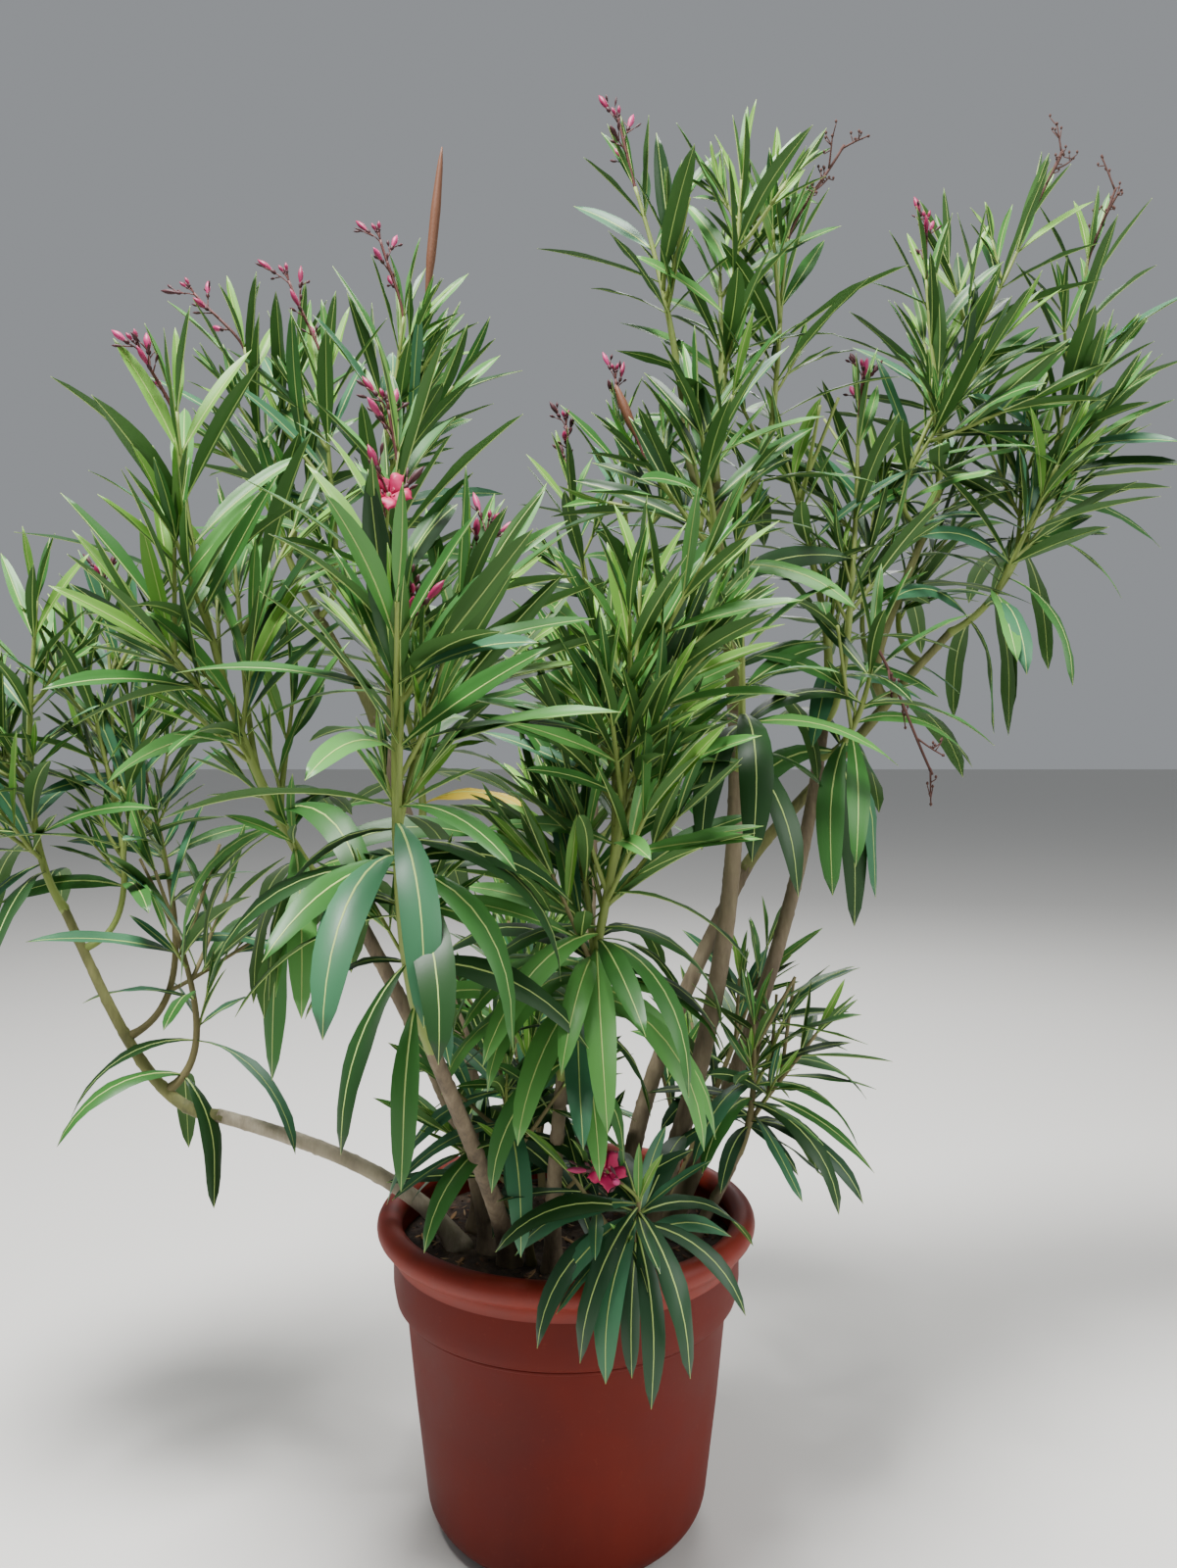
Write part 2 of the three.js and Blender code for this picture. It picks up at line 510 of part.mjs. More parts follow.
function beginning(row, end) {
  if (row.foot) {
    const start = new THREE.Vector3(...row.foot, soilHeight(...row.foot) + FOOT_CLEARANCE);
    const toward = end.clone().sub(start).normalize();
    return { start, direction: toward.addScaledVector(UP, UPWARD_PULL).normalize() };
  }
  const parent = lines.get(row.on);
  if (!row.at) {
    const direction = parent.line.getTangent(1);
    return { start: parent.line.getPoint(1).addScaledVector(direction, GAP), direction };
  }
  const { place, axis } = heartOf(parent, row.at);
  const outward = end.clone().sub(place);
  outward.addScaledVector(axis, -outward.dot(axis)).normalize();
  const radius = between(parent.girth, row.at);
  return { start: place.addScaledVector(outward, radius + GAP), direction: outward };
}

// Everything placed so far, so that what comes later can keep clear of it
const placed = [];

function isClear(solid, mayTouch) {
  const { min, max } = solid.boundingBox();
  const apart = (box) => [0, 1, 2].some((k) => box.min[k] > max[k] + GAP || box.max[k] < min[k] - GAP);
  return placed.every((other) => (
    apart(other.box) || mayTouch(other.owner) || solid.minGap(other.solid, 1) > GAP
  ));
}

function put(owner, solid) {
  placed.push({ owner, solid, box: solid.boundingBox() });
  return solid;
}

// A flower head: a stalk from the shoot's tip that ends in buds, with an open flower, bare twigs
// or one long seed pod in their place
function flowerHead(shoot, bloom, roll) {
  const start = shoot.line.getPoint(0.98);
  const end = vec(bloom.to);
  const across = new THREE.Vector3(1, 0, 0);
  if (bloom.kind === 'pod') {
    const pod = [0, 0.25, 0.5, 0.75, 1].map((t) => start.clone().lerp(end, t));
    const width = start.distanceTo(end) * POD_WIDTH_RATIO;
    return [blade(pod, across, width, width, 0.5)];
  }
  const stalk = growthLine(start, shoot.line.getTangent(1), end);
  const dry = bloom.kind === 'dry';
  const solids = [taperedLimb(stalk, STALK_GIRTH, TWIG_SIDES, 2, stalk.getTangent(0))];
  for (let i = 0; i < BUDS; i += 1) {
    const turn = i * BUD_TURN + roll() * BUD_TURN_SWAY;
    const root = stalk.getPoint(between(BUD_PLACE, i / (BUDS - 1)));
    const direction = leaning(stalk.getTangent(1), turn, between(BUD_LEAN, roll()) * DEGREE);
    const tip = root.clone().addScaledVector(direction, BUD_LENGTH * between(BUD_LENGTHS, roll()));
    const width = dry ? DRY_TWIG_WIDTH : BUD_WIDTH;
    solids.push(blade([root, root.clone().lerp(tip, 0.5), tip], across, width, width, BUD_WIDEST));
  }
  if (bloom.kind === 'flower') solids.push(openFlower(end));
  return solids;
}

// Five spread petals round the middle: a low star, turned to the light
function openFlower(middle) {
  const facing = LIGHT.clone().normalize();
  return shaped(new THREE.SphereGeometry(1, 2 * PETALS, 2), (point) => {
    if (Math.abs(point.y) > 0.5) {
      return middle.clone().addScaledVector(facing, -FLOWER_HALF_DEPTH * Math.sign(point.y));
    }
    const turn = Math.atan2(point.z, point.x);
    const reach = PETAL_LENGTH * (Math.cos(PETALS * turn) > 0 ? 1 : PETAL_NOTCH);
    return middle.clone().addScaledVector(leaning(facing, turn, Math.PI / 2), reach);
  });
}

// How thick a mass's stem is at its start
function stemRadius(mass) {
  const parent = lines.get(mass.on);
  if (!parent) return SOIL_TWIG_RADIUS;
  const ratio = mass.at ? SIDE_TWIG_RATIO : TIP_TWIG_RATIO;
  return Math.min(between(parent.girth, mass.at ?? 1) * ratio, THICKEST_TWIG);
}

// The shoots of one mass: its stem, the forks on it and small sprigs by the seeded rule
function shootsOf(mass, roll) {
  const end = vec(mass.tip);
  const { start, direction } = beginning(mass, end);
  const line = growthLine(start, direction, end, mass.bow);
  const { whorls, bloom, foot } = mass;
  const girth = [stemRadius(mass), TWIG_TIP_RADIUS];
  const shoots = [{ line, girth, whorls, bloom, foot, outset: direction, steps: twigSteps(line) }];
  for (const fork of mass.forks ?? []) {
    const from = line.getPoint(fork.at);
    const tip = vec(fork.tip);
    const lead = line.getTangent(fork.at).add(tip.clone().sub(from).normalize()).normalize();
    const width = between(girth, fork.at) * FORK_RATIO;
    const curve = growthLine(from, lead, tip);
    const fresh = { line: curve, girth: [width, TWIG_TIP_RADIUS], steps: twigSteps(curve) };
    shoots.push({ ...fork, ...fresh, outset: lead });
  }
  for (let i = 0; i < mass.sprigs; i += 1) {
    const at = between(SPRIG_PLACE, roll());
    const from = line.getPoint(at);
    const turn = roll() * 2 * Math.PI;
    const lead = leaning(line.getTangent(at), turn, between(SPRIG_LEAN, roll()) * DEGREE);
    const tip = from.clone().addScaledVector(lead, between(SPRIG_REACH, roll()));
    tip.addScaledVector(UP, SPRIG_LIFT);
    const fresh = { line: growthLine(from, lead, tip), girth: SPRIG_GIRTH, steps: SPRIG_STEPS };
    shoots.push({ ...fresh, outset: lead, whorls: SPRIG_WHORLS, sprig: true });
  }
  return shoots;
}

function twigSteps(line) {
  return Math.max(FEWEST_TWIG_STEPS, Math.round(line.getLength() / TWIG_STEP_LENGTH));
}

function twigSolid({ line, girth, steps, outset, foot }) {
  return taperedLimb(line, girth, TWIG_SIDES, steps, outset, Boolean(foot));
}

// A leaf lies across its shoot and turns its face some way to the light
function leafSide(axis, direction) {
  const natural = new THREE.Vector3().crossVectors(direction, axis).normalize();
  const lit = new THREE.Vector3().crossVectors(direction, LIGHT).normalize();
  return natural.lerp(lit, FACING_LIGHT).normalize();
}

// The leaves of one shoot: rings of three, close and upright at the tip, wide and bent lower down
function leavesOf(shoot, mass, roll) {
  const leaves = [];
  const span = shoot.line.getLength();
  const phase = roll() * 360;
  const size = shoot.sprig ? SPRIG_LEAF_RATIO : 1;
  let below = FIRST_WHORL_BELOW;
  for (let ring = 0; ring < shoot.whorls; ring += 1) {
    const t = 1 - below / span;
    const age = ring / (mass.whorls - 1);
    const axis = shoot.line.getTangent(Math.max(t, 0));
    const { place: root } = heartOf(shoot, Math.max(t, 0));
    for (let i = 0; i < LEAVES_ROUND; i += 1) {
      const turn = phase + ring * WHORL_TURN + (i * 360) / LEAVES_ROUND + between(TURN_SWAY, roll());
      const lean = mix(TIP_LEAN, mass.spread, age ** AGE_OPENING) + between(LEAN_SWAY, roll());
      const grown = Math.min(1, mix(TIP_LEAF_RATIO, 1, ring / FULL_GROWN_RING));
      const length = mass.leaf * size * grown * between(LEAF_LENGTHS, roll());
      const bend = (LEAST_BEND + mass.droop * age ** AGE_BENDING) * between(BENDS, roll()) * DEGREE;
      const rollOver = between(ROLL_OVER, roll()) * DEGREE;
      const fate = roll();
      const lost = roll() < OLD_LEAF_LOSS * age;
      if (t > BARE_FOOT && !lost) {
        const direction = leaning(axis, turn * DEGREE, Math.max(lean * DEGREE, LEAST_LEAN));
        const across = leafSide(axis, direction).applyAxisAngle(direction, rollOver);
        leaves.push({ root, direction, across, length, bend, ring, fate, shoot });
      }
    }
    below += mass.gap * (shoot.sprig ? SPRIG_GAP_RATIO : 1) * (1 + WHORL_STRETCH * ring);
  }
  return leaves;
}

// Long old leaves round part of a stem, each bent down by its own weight
function skirtOf(stem, mass, roll) {
  const { place, leaves: count, leaf: longest } = mass.skirt;
  const phase = roll() * 360;
  return Array.from({ length: count }, (_, i) => {
    const { place: root, axis } = heartOf(stem, between(place, (i + roll()) / count));
    const turn = phase + i * SKIRT_TURN + between(TURN_SWAY, roll());
    const direction = leaning(axis, turn * DEGREE, between(SKIRT_LEAN, roll()) * DEGREE);
    const length = longest * between(LEAF_LENGTHS, roll());
    const bend = length * SKIRT_BEND_PER_LENGTH * between(SKIRT_BENDS, roll()) * DEGREE;
    const across = leafSide(axis, direction);
    return { root, direction, across, length, bend, ring: 'skirt', fate: 0, shoot: stem };
  });
}

function leafSolid(leaf) {
  const points = leafLine(leaf.root, leaf.direction, leaf.length, leaf.bend);
  return blade(points, leaf.across, leaf.length * LEAF_WIDTH_RATIO, leaf.length * LEAF_THICKNESS_RATIO);
}

function named(name, solid, look) {
  const mesh = new THREE.Mesh(toGeometry(solid), new THREE.MeshStandardMaterial(LOOKS[look]));
  mesh.name = name;
  return mesh;
}

const oleander = new THREE.Group();
oleander.add(named('pot', put('pot', turned(potProfile(), POT_SIDES)), 'pot'));
oleander.add(named('soil', put('soil', turned(soilProfile(), POT_SIDES)), 'soil'));

for (const row of LIMBS) {
  const end = vec(row.to);
  const { start, direction } = beginning(row, end);
  const line = growthLine(start, direction, end, row.bow);
  lines.set(row.name, { line, girth: row.girth, steps: LIMB_STEPS, foot: row.foot });
  const sides = row.name.startsWith('cane') ? CANE_SIDES : BOUGH_SIDES;
  const limb = taperedLimb(line, row.girth, sides, LIMB_STEPS, direction, Boolean(row.foot));
  oleander.add(named(row.name, put(row.name, limb), row.foot ? 'bark' : 'green_bark'));
}

const growths = MASSES.map((mass, index) => {
  const roll = dice(FIRST_SEED + index);
  const shoots = shootsOf(mass, roll);
  const parts = [];
  shoots.forEach((shoot, number) => {
    const twig = twigSolid(shoot);
    shoot.id = `${mass.name}/${number}`;
    shoot.kept = !shoot.sprig || isClear(twig, (owner) => owner.startsWith(mass.name));
    if (shoot.kept) parts.push(put(shoot.id, twig));
  });
  return { mass, roll, shoots, parts };
});

for (const { mass, roll, shoots, parts } of growths) {
  for (const shoot of shoots) {
    if (!shoot.bloom) continue;
    const head = flowerHead(shoot, shoot.bloom, roll);
    parts.push(...head.map((solid) => put(`${mass.name}/bloom`, solid)));
  }
}

for (const { mass, roll, shoots, parts } of growths) {
  const leaves = shoots.flatMap((shoot) => leavesOf(shoot, mass, roll));
  const skirt = mass.skirt ? skirtOf(shoots[0], mass, roll) : [];
  for (const leaf of [...skirt, ...leaves]) {
    const { id, kept } = leaf.shoot;
    if (!kept || leaf.fate > LEAF_SHARE) continue;
    const solid = leafSolid(leaf);
    const ring = `${id}/${leaf.ring}`;
    if (isClear(solid, (owner) => owner === id || owner === ring)) parts.push(put(ring, solid));
  }
  oleander.add(named(mass.name, fuse(parts), 'leaves'));
}

export default oleander;
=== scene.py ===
"""A potted oleander: a many-stemmed evergreen shrub in a round red-brown plastic tub.

The tub, the canes and the shoots stand where the frame has them. Each foliage mass is grown again
from its limb by the same seeded rule, with all of its leaves, finer sprigs, buds and flowers.
The plant's own sizes are in millimetres, and become metres when a mesh is made.
"""

import itertools
import math
from dataclasses import dataclass

import bpy
import numpy as np
from mathutils import Matrix, Vector


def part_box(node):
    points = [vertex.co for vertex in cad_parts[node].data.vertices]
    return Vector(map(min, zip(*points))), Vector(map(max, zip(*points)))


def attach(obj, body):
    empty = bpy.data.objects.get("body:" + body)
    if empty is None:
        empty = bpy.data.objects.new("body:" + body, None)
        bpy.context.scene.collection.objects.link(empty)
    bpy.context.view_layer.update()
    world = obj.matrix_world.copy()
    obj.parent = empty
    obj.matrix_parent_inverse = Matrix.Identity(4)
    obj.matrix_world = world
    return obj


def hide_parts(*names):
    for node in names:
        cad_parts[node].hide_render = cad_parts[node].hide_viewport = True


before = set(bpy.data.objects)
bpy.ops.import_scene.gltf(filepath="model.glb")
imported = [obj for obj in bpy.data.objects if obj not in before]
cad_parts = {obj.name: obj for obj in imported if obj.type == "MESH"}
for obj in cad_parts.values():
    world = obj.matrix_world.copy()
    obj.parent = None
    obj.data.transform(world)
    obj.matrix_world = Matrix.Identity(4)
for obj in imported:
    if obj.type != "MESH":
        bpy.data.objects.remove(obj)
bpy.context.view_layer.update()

MM = 0.001
UP = Vector((0, 0, 1))
CIRCLE = 2 * math.pi
UPRIGHT = 0.9
WORD = 0xFFFFFFFF

# Seeds: each mass has two of its own, counted up from the first pair
FIRST_SEED = 1000
FINE_SEED = 5000
SOIL_SEED = 7
HEAD_SEED = 19
BARK_SEED = 43
LEAF_SEED = 71

# The camera, where the photo was taken from
CAMERA_PLACE = (0.0303, -1.615, 1.079)
CAMERA_DOWNWARD = 2.2
CAMERA_LENS = 27
CAMERA_SENSOR = 36

# The tub
RIM_RADIUS = 260
POT_HEIGHT = 435
RIM_ROLL = 17
COLLAR_RADIUS = 238
COLLAR_FOOT_RADIUS = 234
COLLAR_FOOT = 317
COLLAR_SHOULDER = 345
BEAD_RADIUS = 228
BEAD_HEIGHT = 6
BODY_TOP_RADIUS = 221
BODY_SLOPE = 0.105
BASE_CORNER = 55
BASE_FLAT_RADIUS = 139
POT_WALL = 5
POT_SIDES = 144
POT_FILLET = 1.5
POT_WOBBLE = 0.35

# The soil in it
GAP = 0.3
SOIL_RADIUS = COLLAR_RADIUS - POT_WALL - GAP
SOIL_EDGE = 381
SOIL_CROWN = 390
SOIL_KNEE = 0.7
SOIL_KNEE_HEIGHT = 387.75
SOIL_SIDES = 150
SOIL_RINGS = 46
SOIL_CENTRE = 0.004
SOIL_GRAIN = 0.55
CALM_EDGE = 14
FOOT_CLEARANCE = 1.8

# Lengths and depths of the waves that make the soil lumpy
SOIL_WAVES = ((90, 2.2), (60, 1.6), (34, 1.2), (34, 1.1), (18, 0.8), (18, 0.8), (11, 0.6), (8, 0.5))

# Wood
CANE_SIDES = 20
RING_STEP = 5.0
ROOT_FLARE = 7
ROOT_FLARE_HEIGHT = 22
BRANCH_COLLAR_LENGTH = 12
BRANCH_COLLAR_RATIO = 1.3
SET_OUT = 0.22
RUN_IN = 0.62
BOW_NEAR = 1.2
BOW_FAR = 1.4
LENGTH_PIECES = 80
UPWARD_PULL = 0.6
SEAT_DEPTH = 9

# Twigs
THICKEST_TWIG = 7
SOIL_TWIG_RADIUS = 6
TIP_TWIG_RATIO = 0.94
SIDE_TWIG_RATIO = 0.7
FORK_RATIO = 0.8
TWIG_TIP_RADIUS = 2.2
TWIG_SIDES = 8
TWIG_STEP = 12
BROWN_BELOW = 900

# Leaves, in threes round the shoot
LEAVES_ROUND = 3
LEAF_LENGTHS = (0.86, 1.08)
TIP_LEAF_RATIO = 0.55
SPRIG_LEAF_RATIO = 0.62
SPRIG_GAP_RATIO = 0.7
FULL_GROWN_RING = 2.5
TIP_LEAN = 13
LEAST_LEAN = 0.05
LEAST_BEND = 6
BENDS = (0.75, 1.25)
AGE_OPENING = 0.75
AGE_BENDING = 1.2
TURN_SWAY = (-14, 14)
LEAN_SWAY = (-8, 8)
ROLL_OVER = (-35, 35)
FIRST_WHORL_BELOW = 3
WHORL_TURN = 60
WHORL_STRETCH = 0.06
BARE_FOOT = 0.02
OLD_LEAF_LOSS = 0.22
FACING_LIGHT = 0.45
LIGHT = Vector((0, -0.6, 0.8))

# Skirts, the long old leaves that hang round the lower part of some stems
SKIRT_TURN = 137.5
SKIRT_LEAN = (64, 98)
SKIRT_BEND_PER_LENGTH = 0.4
SKIRT_BENDS = (0.85, 1.15)

# Flower heads
HEAD_START = 0.98
STALK_GIRTH = (2.2, 1.8)
BUDS = 4
BUD_LENGTH = 44
BUD_LENGTHS = (0.9, 1.3)
BUD_PLACE = (0.4, 0.97)
BUD_TURN = 2.4
BUD_TURN_SWAY = 0.8
BUD_LEAN = (18, 42)
PETALS = 5
PETAL_LENGTH = 21
FLOWER_FACING = Vector((0.2, -0.85, 0.45)).normalized()


@dataclass
class Limb:
    """A cane or bough: where it ends, its end radii and how far its middle stands off the straight.

    It has a foot on the soil, or grows on another limb, at its tip or at a fraction of its length.
    """

    name: str
    tip: tuple
    girth: tuple
    bow: tuple = (0, 0, 0)
    foot: tuple = None
    on: str = None
    at: float = None


@dataclass
class Mass:
    """A mass of foliage, grown from one stem that starts as a limb does.

    rings: how many whorls of leaves, counted down from the tip, and how far apart they are.
    sprigs: how many small side twigs the seeded rule adds.
    leaf: the longest leaf, how far the oldest leaves open from the stem and how far they bend.
    skirt: the part of the stem with old hanging leaves, how many there are and how long.
    forks: side shoots, each with its place on the stem, tip, whorls and bloom, if it has one.
    bloom: what the tip carries, and where that ends.
    """

    name: str
    tip: tuple
    bow: tuple
    rings: tuple
    leaf: tuple
    on: str = None
    at: float = None
    foot: tuple = None
    sprigs: int = 1
    skirt: tuple = None
    bloom: tuple = None
    forks: tuple = ()

    @property
    def node(self):
        return f"foliage_{self.name}"


# The canes, then the boughs that grow on them
LIMBS = {limb.name: limb for limb in (
    Limb("cane_left_low", (-475, -30, 566), (12, 9), (0, 0, 24), foot=(-150, -35)),
    Limb("cane_left_rise", (-680, -30, 850), (8.6, 6), (-14, 0, -16), on="cane_left_low"),
    Limb("cane_left_diagonal", (-244, -200, 853), (12, 8), (14, 10, 0), foot=(-103, -55)),
    Limb("cane_left_front", (-145, -315, 735), (12, 8), (4, -18, 8), foot=(-74, -90)),
    Limb("cane_left_back", (-275, 55, 1110), (13, 8.5), (30, 0, 0), foot=(-125, 25)),
    Limb("cane_centre", (-1, -200, 672), (11, 7.5), (-4, -8, 0), foot=(-15, -110)),
    Limb("cane_right_tall", (230, 0, 1127), (15, 10), (48, 0, 0), foot=(105, 0)),
    Limb("cane_right_middle", (375, 100, 1140), (13, 8.5), (46, 0, 0), foot=(145, 35)),
    Limb("cane_right_back", (265, 120, 892), (13, 9.5), (-20, 0, 10), foot=(85, 85)),
    Limb("cane_back", (42, 205, 1140), (12, 7.5), (0, 20, 0), foot=(20, 110)),
    Limb("cane_right_low", (236, -20, 512), (8, 6), (4, 0, 0), foot=(168, -35)),
    Limb("bough_left_back", (-360, 55, 1270), (7.4, 5.6), on="cane_left_back"),
    Limb("bough_left_inner", (-262, 0, 1300), (6.6, 5.4), on="cane_left_back", at=0.97),
    Limb("bough_right_tall", (201, 0, 1431), (9.6, 7.6), on="cane_right_tall"),
    Limb("bough_right_tall_left", (150, -5, 1580), (6, 5), on="bough_right_tall", at=0.96),
    Limb("bough_right_back", (492, 150, 1151), (9, 7.4), (0, 0, -8), on="cane_right_back"),
    Limb("bough_right_outer", (575, 162, 1240), (7, 6), on="bough_right_back"),
    Limb("bough_right_upper", (545, 140, 1440), (6.6, 5.4), on="bough_right_back", at=0.95),
)}

MASSES = [
    Mass("left_low_outer", (-700, -50, 1262), (-18, 0, 0), (8, 42), (185, 78, 50), on="cane_left_rise",
         skirt=(0.1, 0.35, 4, 200), forks=[(0.3, (-800, -30, 1140), 6)]),
    Mass("left_low_middle", (-668, 12, 1200), (10, 10, 0), (7, 42), (180, 72, 40), on="cane_left_rise",
         at=0.86, forks=[(0.5, (-655, 65, 1260), 3, ("buds", (-660, 70, 1310)))]),
    Mass("left_low_inner", (-622, 60, 1135), (14, 18, 0), (7, 45), (175, 78, 45), on="cane_left_rise",
         at=0.54),
    Mass("left_low_skirt", (-560, -20, 900), (18, 10, 0), (6, 50), (215, 98, 80), on="cane_left_rise",
         at=0.28, sprigs=0),
    Mass("left_diagonal", (-425, -300, 1440), (-42, -22, -14), (13, 40), (205, 100, 80),
         on="cane_left_diagonal", sprigs=2, skirt=(0.14, 0.36, 8, 240),
         bloom=("buds", (-462, -305, 1505)), forks=[
             (0.44, (-440, -360, 1205), 3),
             (0.4, (-392, -205, 1290), 4),
             (0.3, (-322, -215, 1120), 2),
         ]),
    Mass("left_front", (-165, -400, 1372), (0, -58, 0), (13, 40), (215, 104, 88), on="cane_left_front",
         sprigs=2, skirt=(0.34, 0.5, 11, 255), bloom=("buds", (-174, -398, 1415)), forks=[
             (0.45, (-100, -355, 1245), 5, ("buds", (-78, -350, 1300))),
             (0.42, (-150, -470, 1165), 3, ("buds", (-138, -480, 1205))),
             (0.58, (-170, -445, 1270), 3, ("flower", (-164, -462, 1318))),
         ]),
    Mass("left_back_outer", (-450, 50, 1625), (-12, 0, 0), (8, 38), (190, 72, 35), on="bough_left_back",
         bloom=("buds", (-520, 50, 1700)), forks=[(0.3, (-440, 130, 1500), 5)]),
    Mass("left_back_middle", (-318, -25, 1560), (0, -20, 0), (8, 36), (190, 70, 35),
         on="bough_left_back", at=0.9, bloom=("buds", (-370, -20, 1690))),
    Mass("left_back_top", (-220, 0, 1650), (0, 0, 0), (8, 40), (190, 72, 35), on="bough_left_inner",
         bloom=("buds", (-250, -5, 1750)),
         forks=[(0.25, (-203, 20, 1560), 6, ("pod", (-167, 0, 1875)))]),
    Mass("left_back_low", (-300, 215, 1330), (0, 30, 0), (8, 42), (195, 84, 50), on="cane_left_back",
         at=0.8, forks=[(0.35, (-190, 235, 1240), 5)]),
    Mass("centre", (90, -240, 1262), (22, -22, 0), (12, 40), (190, 102, 76), on="cane_centre", sprigs=2,
         skirt=(0.14, 0.38, 12, 240), forks=[
             (0.3, (4, -205, 1050), 5),
             (0.45, (146, -190, 1215), 5),
             (0.5, (60, -180, 1180), 3),
         ]),
    Mass("right_tall_top", (234, -20, 1822), (6, 0, 0), (9, 36), (180, 72, 30), on="bough_right_tall",
         forks=[(0.35, (215, 60, 1730), 5)]),
    Mass("right_tall_left", (93, 0, 1822), (6, 0, 0), (7, 36), (180, 66, 25),
         on="bough_right_tall_left", bloom=("buds", (72, 0, 1905))),
    Mass("right_tall_right", (306, 40, 1770), (12, 20, 0), (8, 38), (190, 66, 28),
         on="bough_right_tall", at=0.9, bloom=("dry", (384, 45, 1900))),
    Mass("right_tall_front", (168, -105, 1500), (0, -22, 0), (7, 34), (185, 86, 45),
         on="bough_right_tall", at=0.55, forks=[(0.3, (108, -40, 1440), 4)]),
    Mass("right_tall_skirt", (228, -95, 1230), (0, -20, 0), (5, 38), (225, 100, 85),
         on="cane_right_tall", at=0.9, sprigs=0, skirt=(0.1, 0.7, 6, 240)),
    Mass("right_middle_left", (304, 50, 1480), (10, 0, 0), (8, 36), (180, 84, 50),
         on="cane_right_middle"),
    Mass("right_middle_top", (420, 100, 1545), (10, 0, 0), (8, 40), (180, 76, 40),
         on="cane_right_middle", at=0.96, bloom=("buds", (424, 95, 1600))),
    Mass("right_middle_skirt", (420, 0, 1200), (12, -22, 0), (5, 36), (235, 100, 90),
         on="cane_right_middle", at=0.9, sprigs=0, skirt=(0.1, 0.7, 6, 250),
         bloom=("dry", (500, -10, 1030))),
    Mass("right_upper_left", (521, 120, 1745), (0, 0, 0), (7, 38), (180, 66, 28),
         on="bough_right_upper", bloom=("buds", (520, 120, 1820))),
    Mass("right_upper_right", (678, 140, 1840), (-6, 0, -10), (9, 42), (185, 74, 32),
         on="bough_right_upper", at=0.86, bloom=("dry", (724, 140, 1940)),
         forks=[(0.3, (610, 70, 1640), 5)]),
    Mass("right_upper_back", (486, 235, 1510), (0, 30, 0), (8, 38), (185, 78, 40),
         on="bough_right_upper", at=0.3),
    Mass("right_outer", (776, 170, 1795), (34, 0, -28), (11, 44), (200, 100, 66),
         on="bough_right_outer", sprigs=2, skirt=(0.12, 0.4, 6, 225), bloom=("dry", (812, 160, 1895)),
         forks=[(0.3, (705, 225, 1560), 4), (0.2, (700, 80, 1470), 4)]),
    Mass("right_outer_back", (640, 265, 1600), (0, 40, 0), (8, 40), (185, 82, 42),
         on="bough_right_outer", at=0.52),
    Mass("back_left", (0, 215, 1470), (4, 8, 0), (8, 36), (175, 78, 40), on="cane_back",
         bloom=("buds", (-4, 212, 1560))),
    Mass("back_right", (78, 215, 1545), (10, 10, 0), (7, 40), (175, 72, 38), on="cane_back", at=0.95,
         bloom=("buds", (72, 210, 1630))),
    Mass("back_outer", (120, 330, 1300), (10, 34, 0), (8, 42), (195, 90, 60), on="cane_back", at=0.75,
         skirt=(0.2, 0.5, 6, 220), forks=[(0.35, (-40, 345, 1200), 5)]),
    Mass("right_low", (256, -25, 690), (6, 0, 0), (5, 30), (170, 92, 34), on="cane_right_low",
         skirt=(0.2, 0.75, 6, 195), forks=[(0.25, (345, -5, 672), 5)]),
    Mass("right_low_back", (300, 150, 765), (10, 10, 0), (6, 38), (165, 86, 40), foot=(150, 95)),
    Mass("front_low", (88, -282, 548), (0, -18, 8), (4, 24), (165, 96, 40), foot=(85, -160), sprigs=0,
         skirt=(0.7, 0.97, 11, 190), bloom=("flower", (50, -305, 592))),
    Mass("low_left", (-78, -190, 675), (0, -8, 0), (4, 32), (180, 92, 62), foot=(-45, -95), sprigs=0,
         skirt=(0.5, 0.95, 10, 205)),
    Mass("low_middle", (-84, 55, 820), (0, 6, 0), (9, 34), (170, 88, 46), foot=(-55, 40),
         skirt=(0.3, 0.6, 5, 190)),
    Mass("low_back", (-90, 265, 780), (0, 14, 0), (8, 38), (180, 90, 52), foot=(-40, 150)),
]

# The plant's rule


def mix(low, high, share):
    return low + (high - low) * share


class Dice:
    """Seeded numbers from 0 to 1, the same on every run."""

    def __init__(self, seed):
        self.state = seed

    def roll(self):
        self.state = (self.state + 0x6D2B79F5) & WORD
        t = ((self.state ^ (self.state >> 15)) * (self.state | 1)) & WORD
        t ^= (t + (((t ^ (t >> 7)) * (t | 61)) & WORD)) & WORD
        return (t ^ (t >> 14)) / (WORD + 1)

    def between(self, low, high):
        return mix(low, high, self.roll())

    def angle(self, low, high):
        return math.radians(self.between(low, high))


class Line:
    """A curve that wood follows: out along its outset, then on to the end, with a bow between."""

    def __init__(self, start, outset, end, bow=(0, 0, 0)):
        span = (end - start).length
        push = Vector(bow)
        second = start + outset * (span * SET_OUT) + push * BOW_NEAR
        third = start.lerp(end, RUN_IN) + push * BOW_FAR
        self.corners = (start, second, third, end)

    def at(self, t):
        a, b, c, d = self.corners
        s = 1 - t
        return a * s**3 + b * (3 * s * s * t) + c * (3 * s * t * t) + d * t**3

    def tangent(self, t):
        a, b, c, d = self.corners
        s = 1 - t
        return ((b - a) * (s * s) + (c - b) * (2 * s * t) + (d - c) * (t * t)).normalized()

    def length(self):
        points = [self.at(i / LENGTH_PIECES) for i in range(LENGTH_PIECES + 1)]
        return sum((b - a).length for a, b in itertools.pairwise(points))


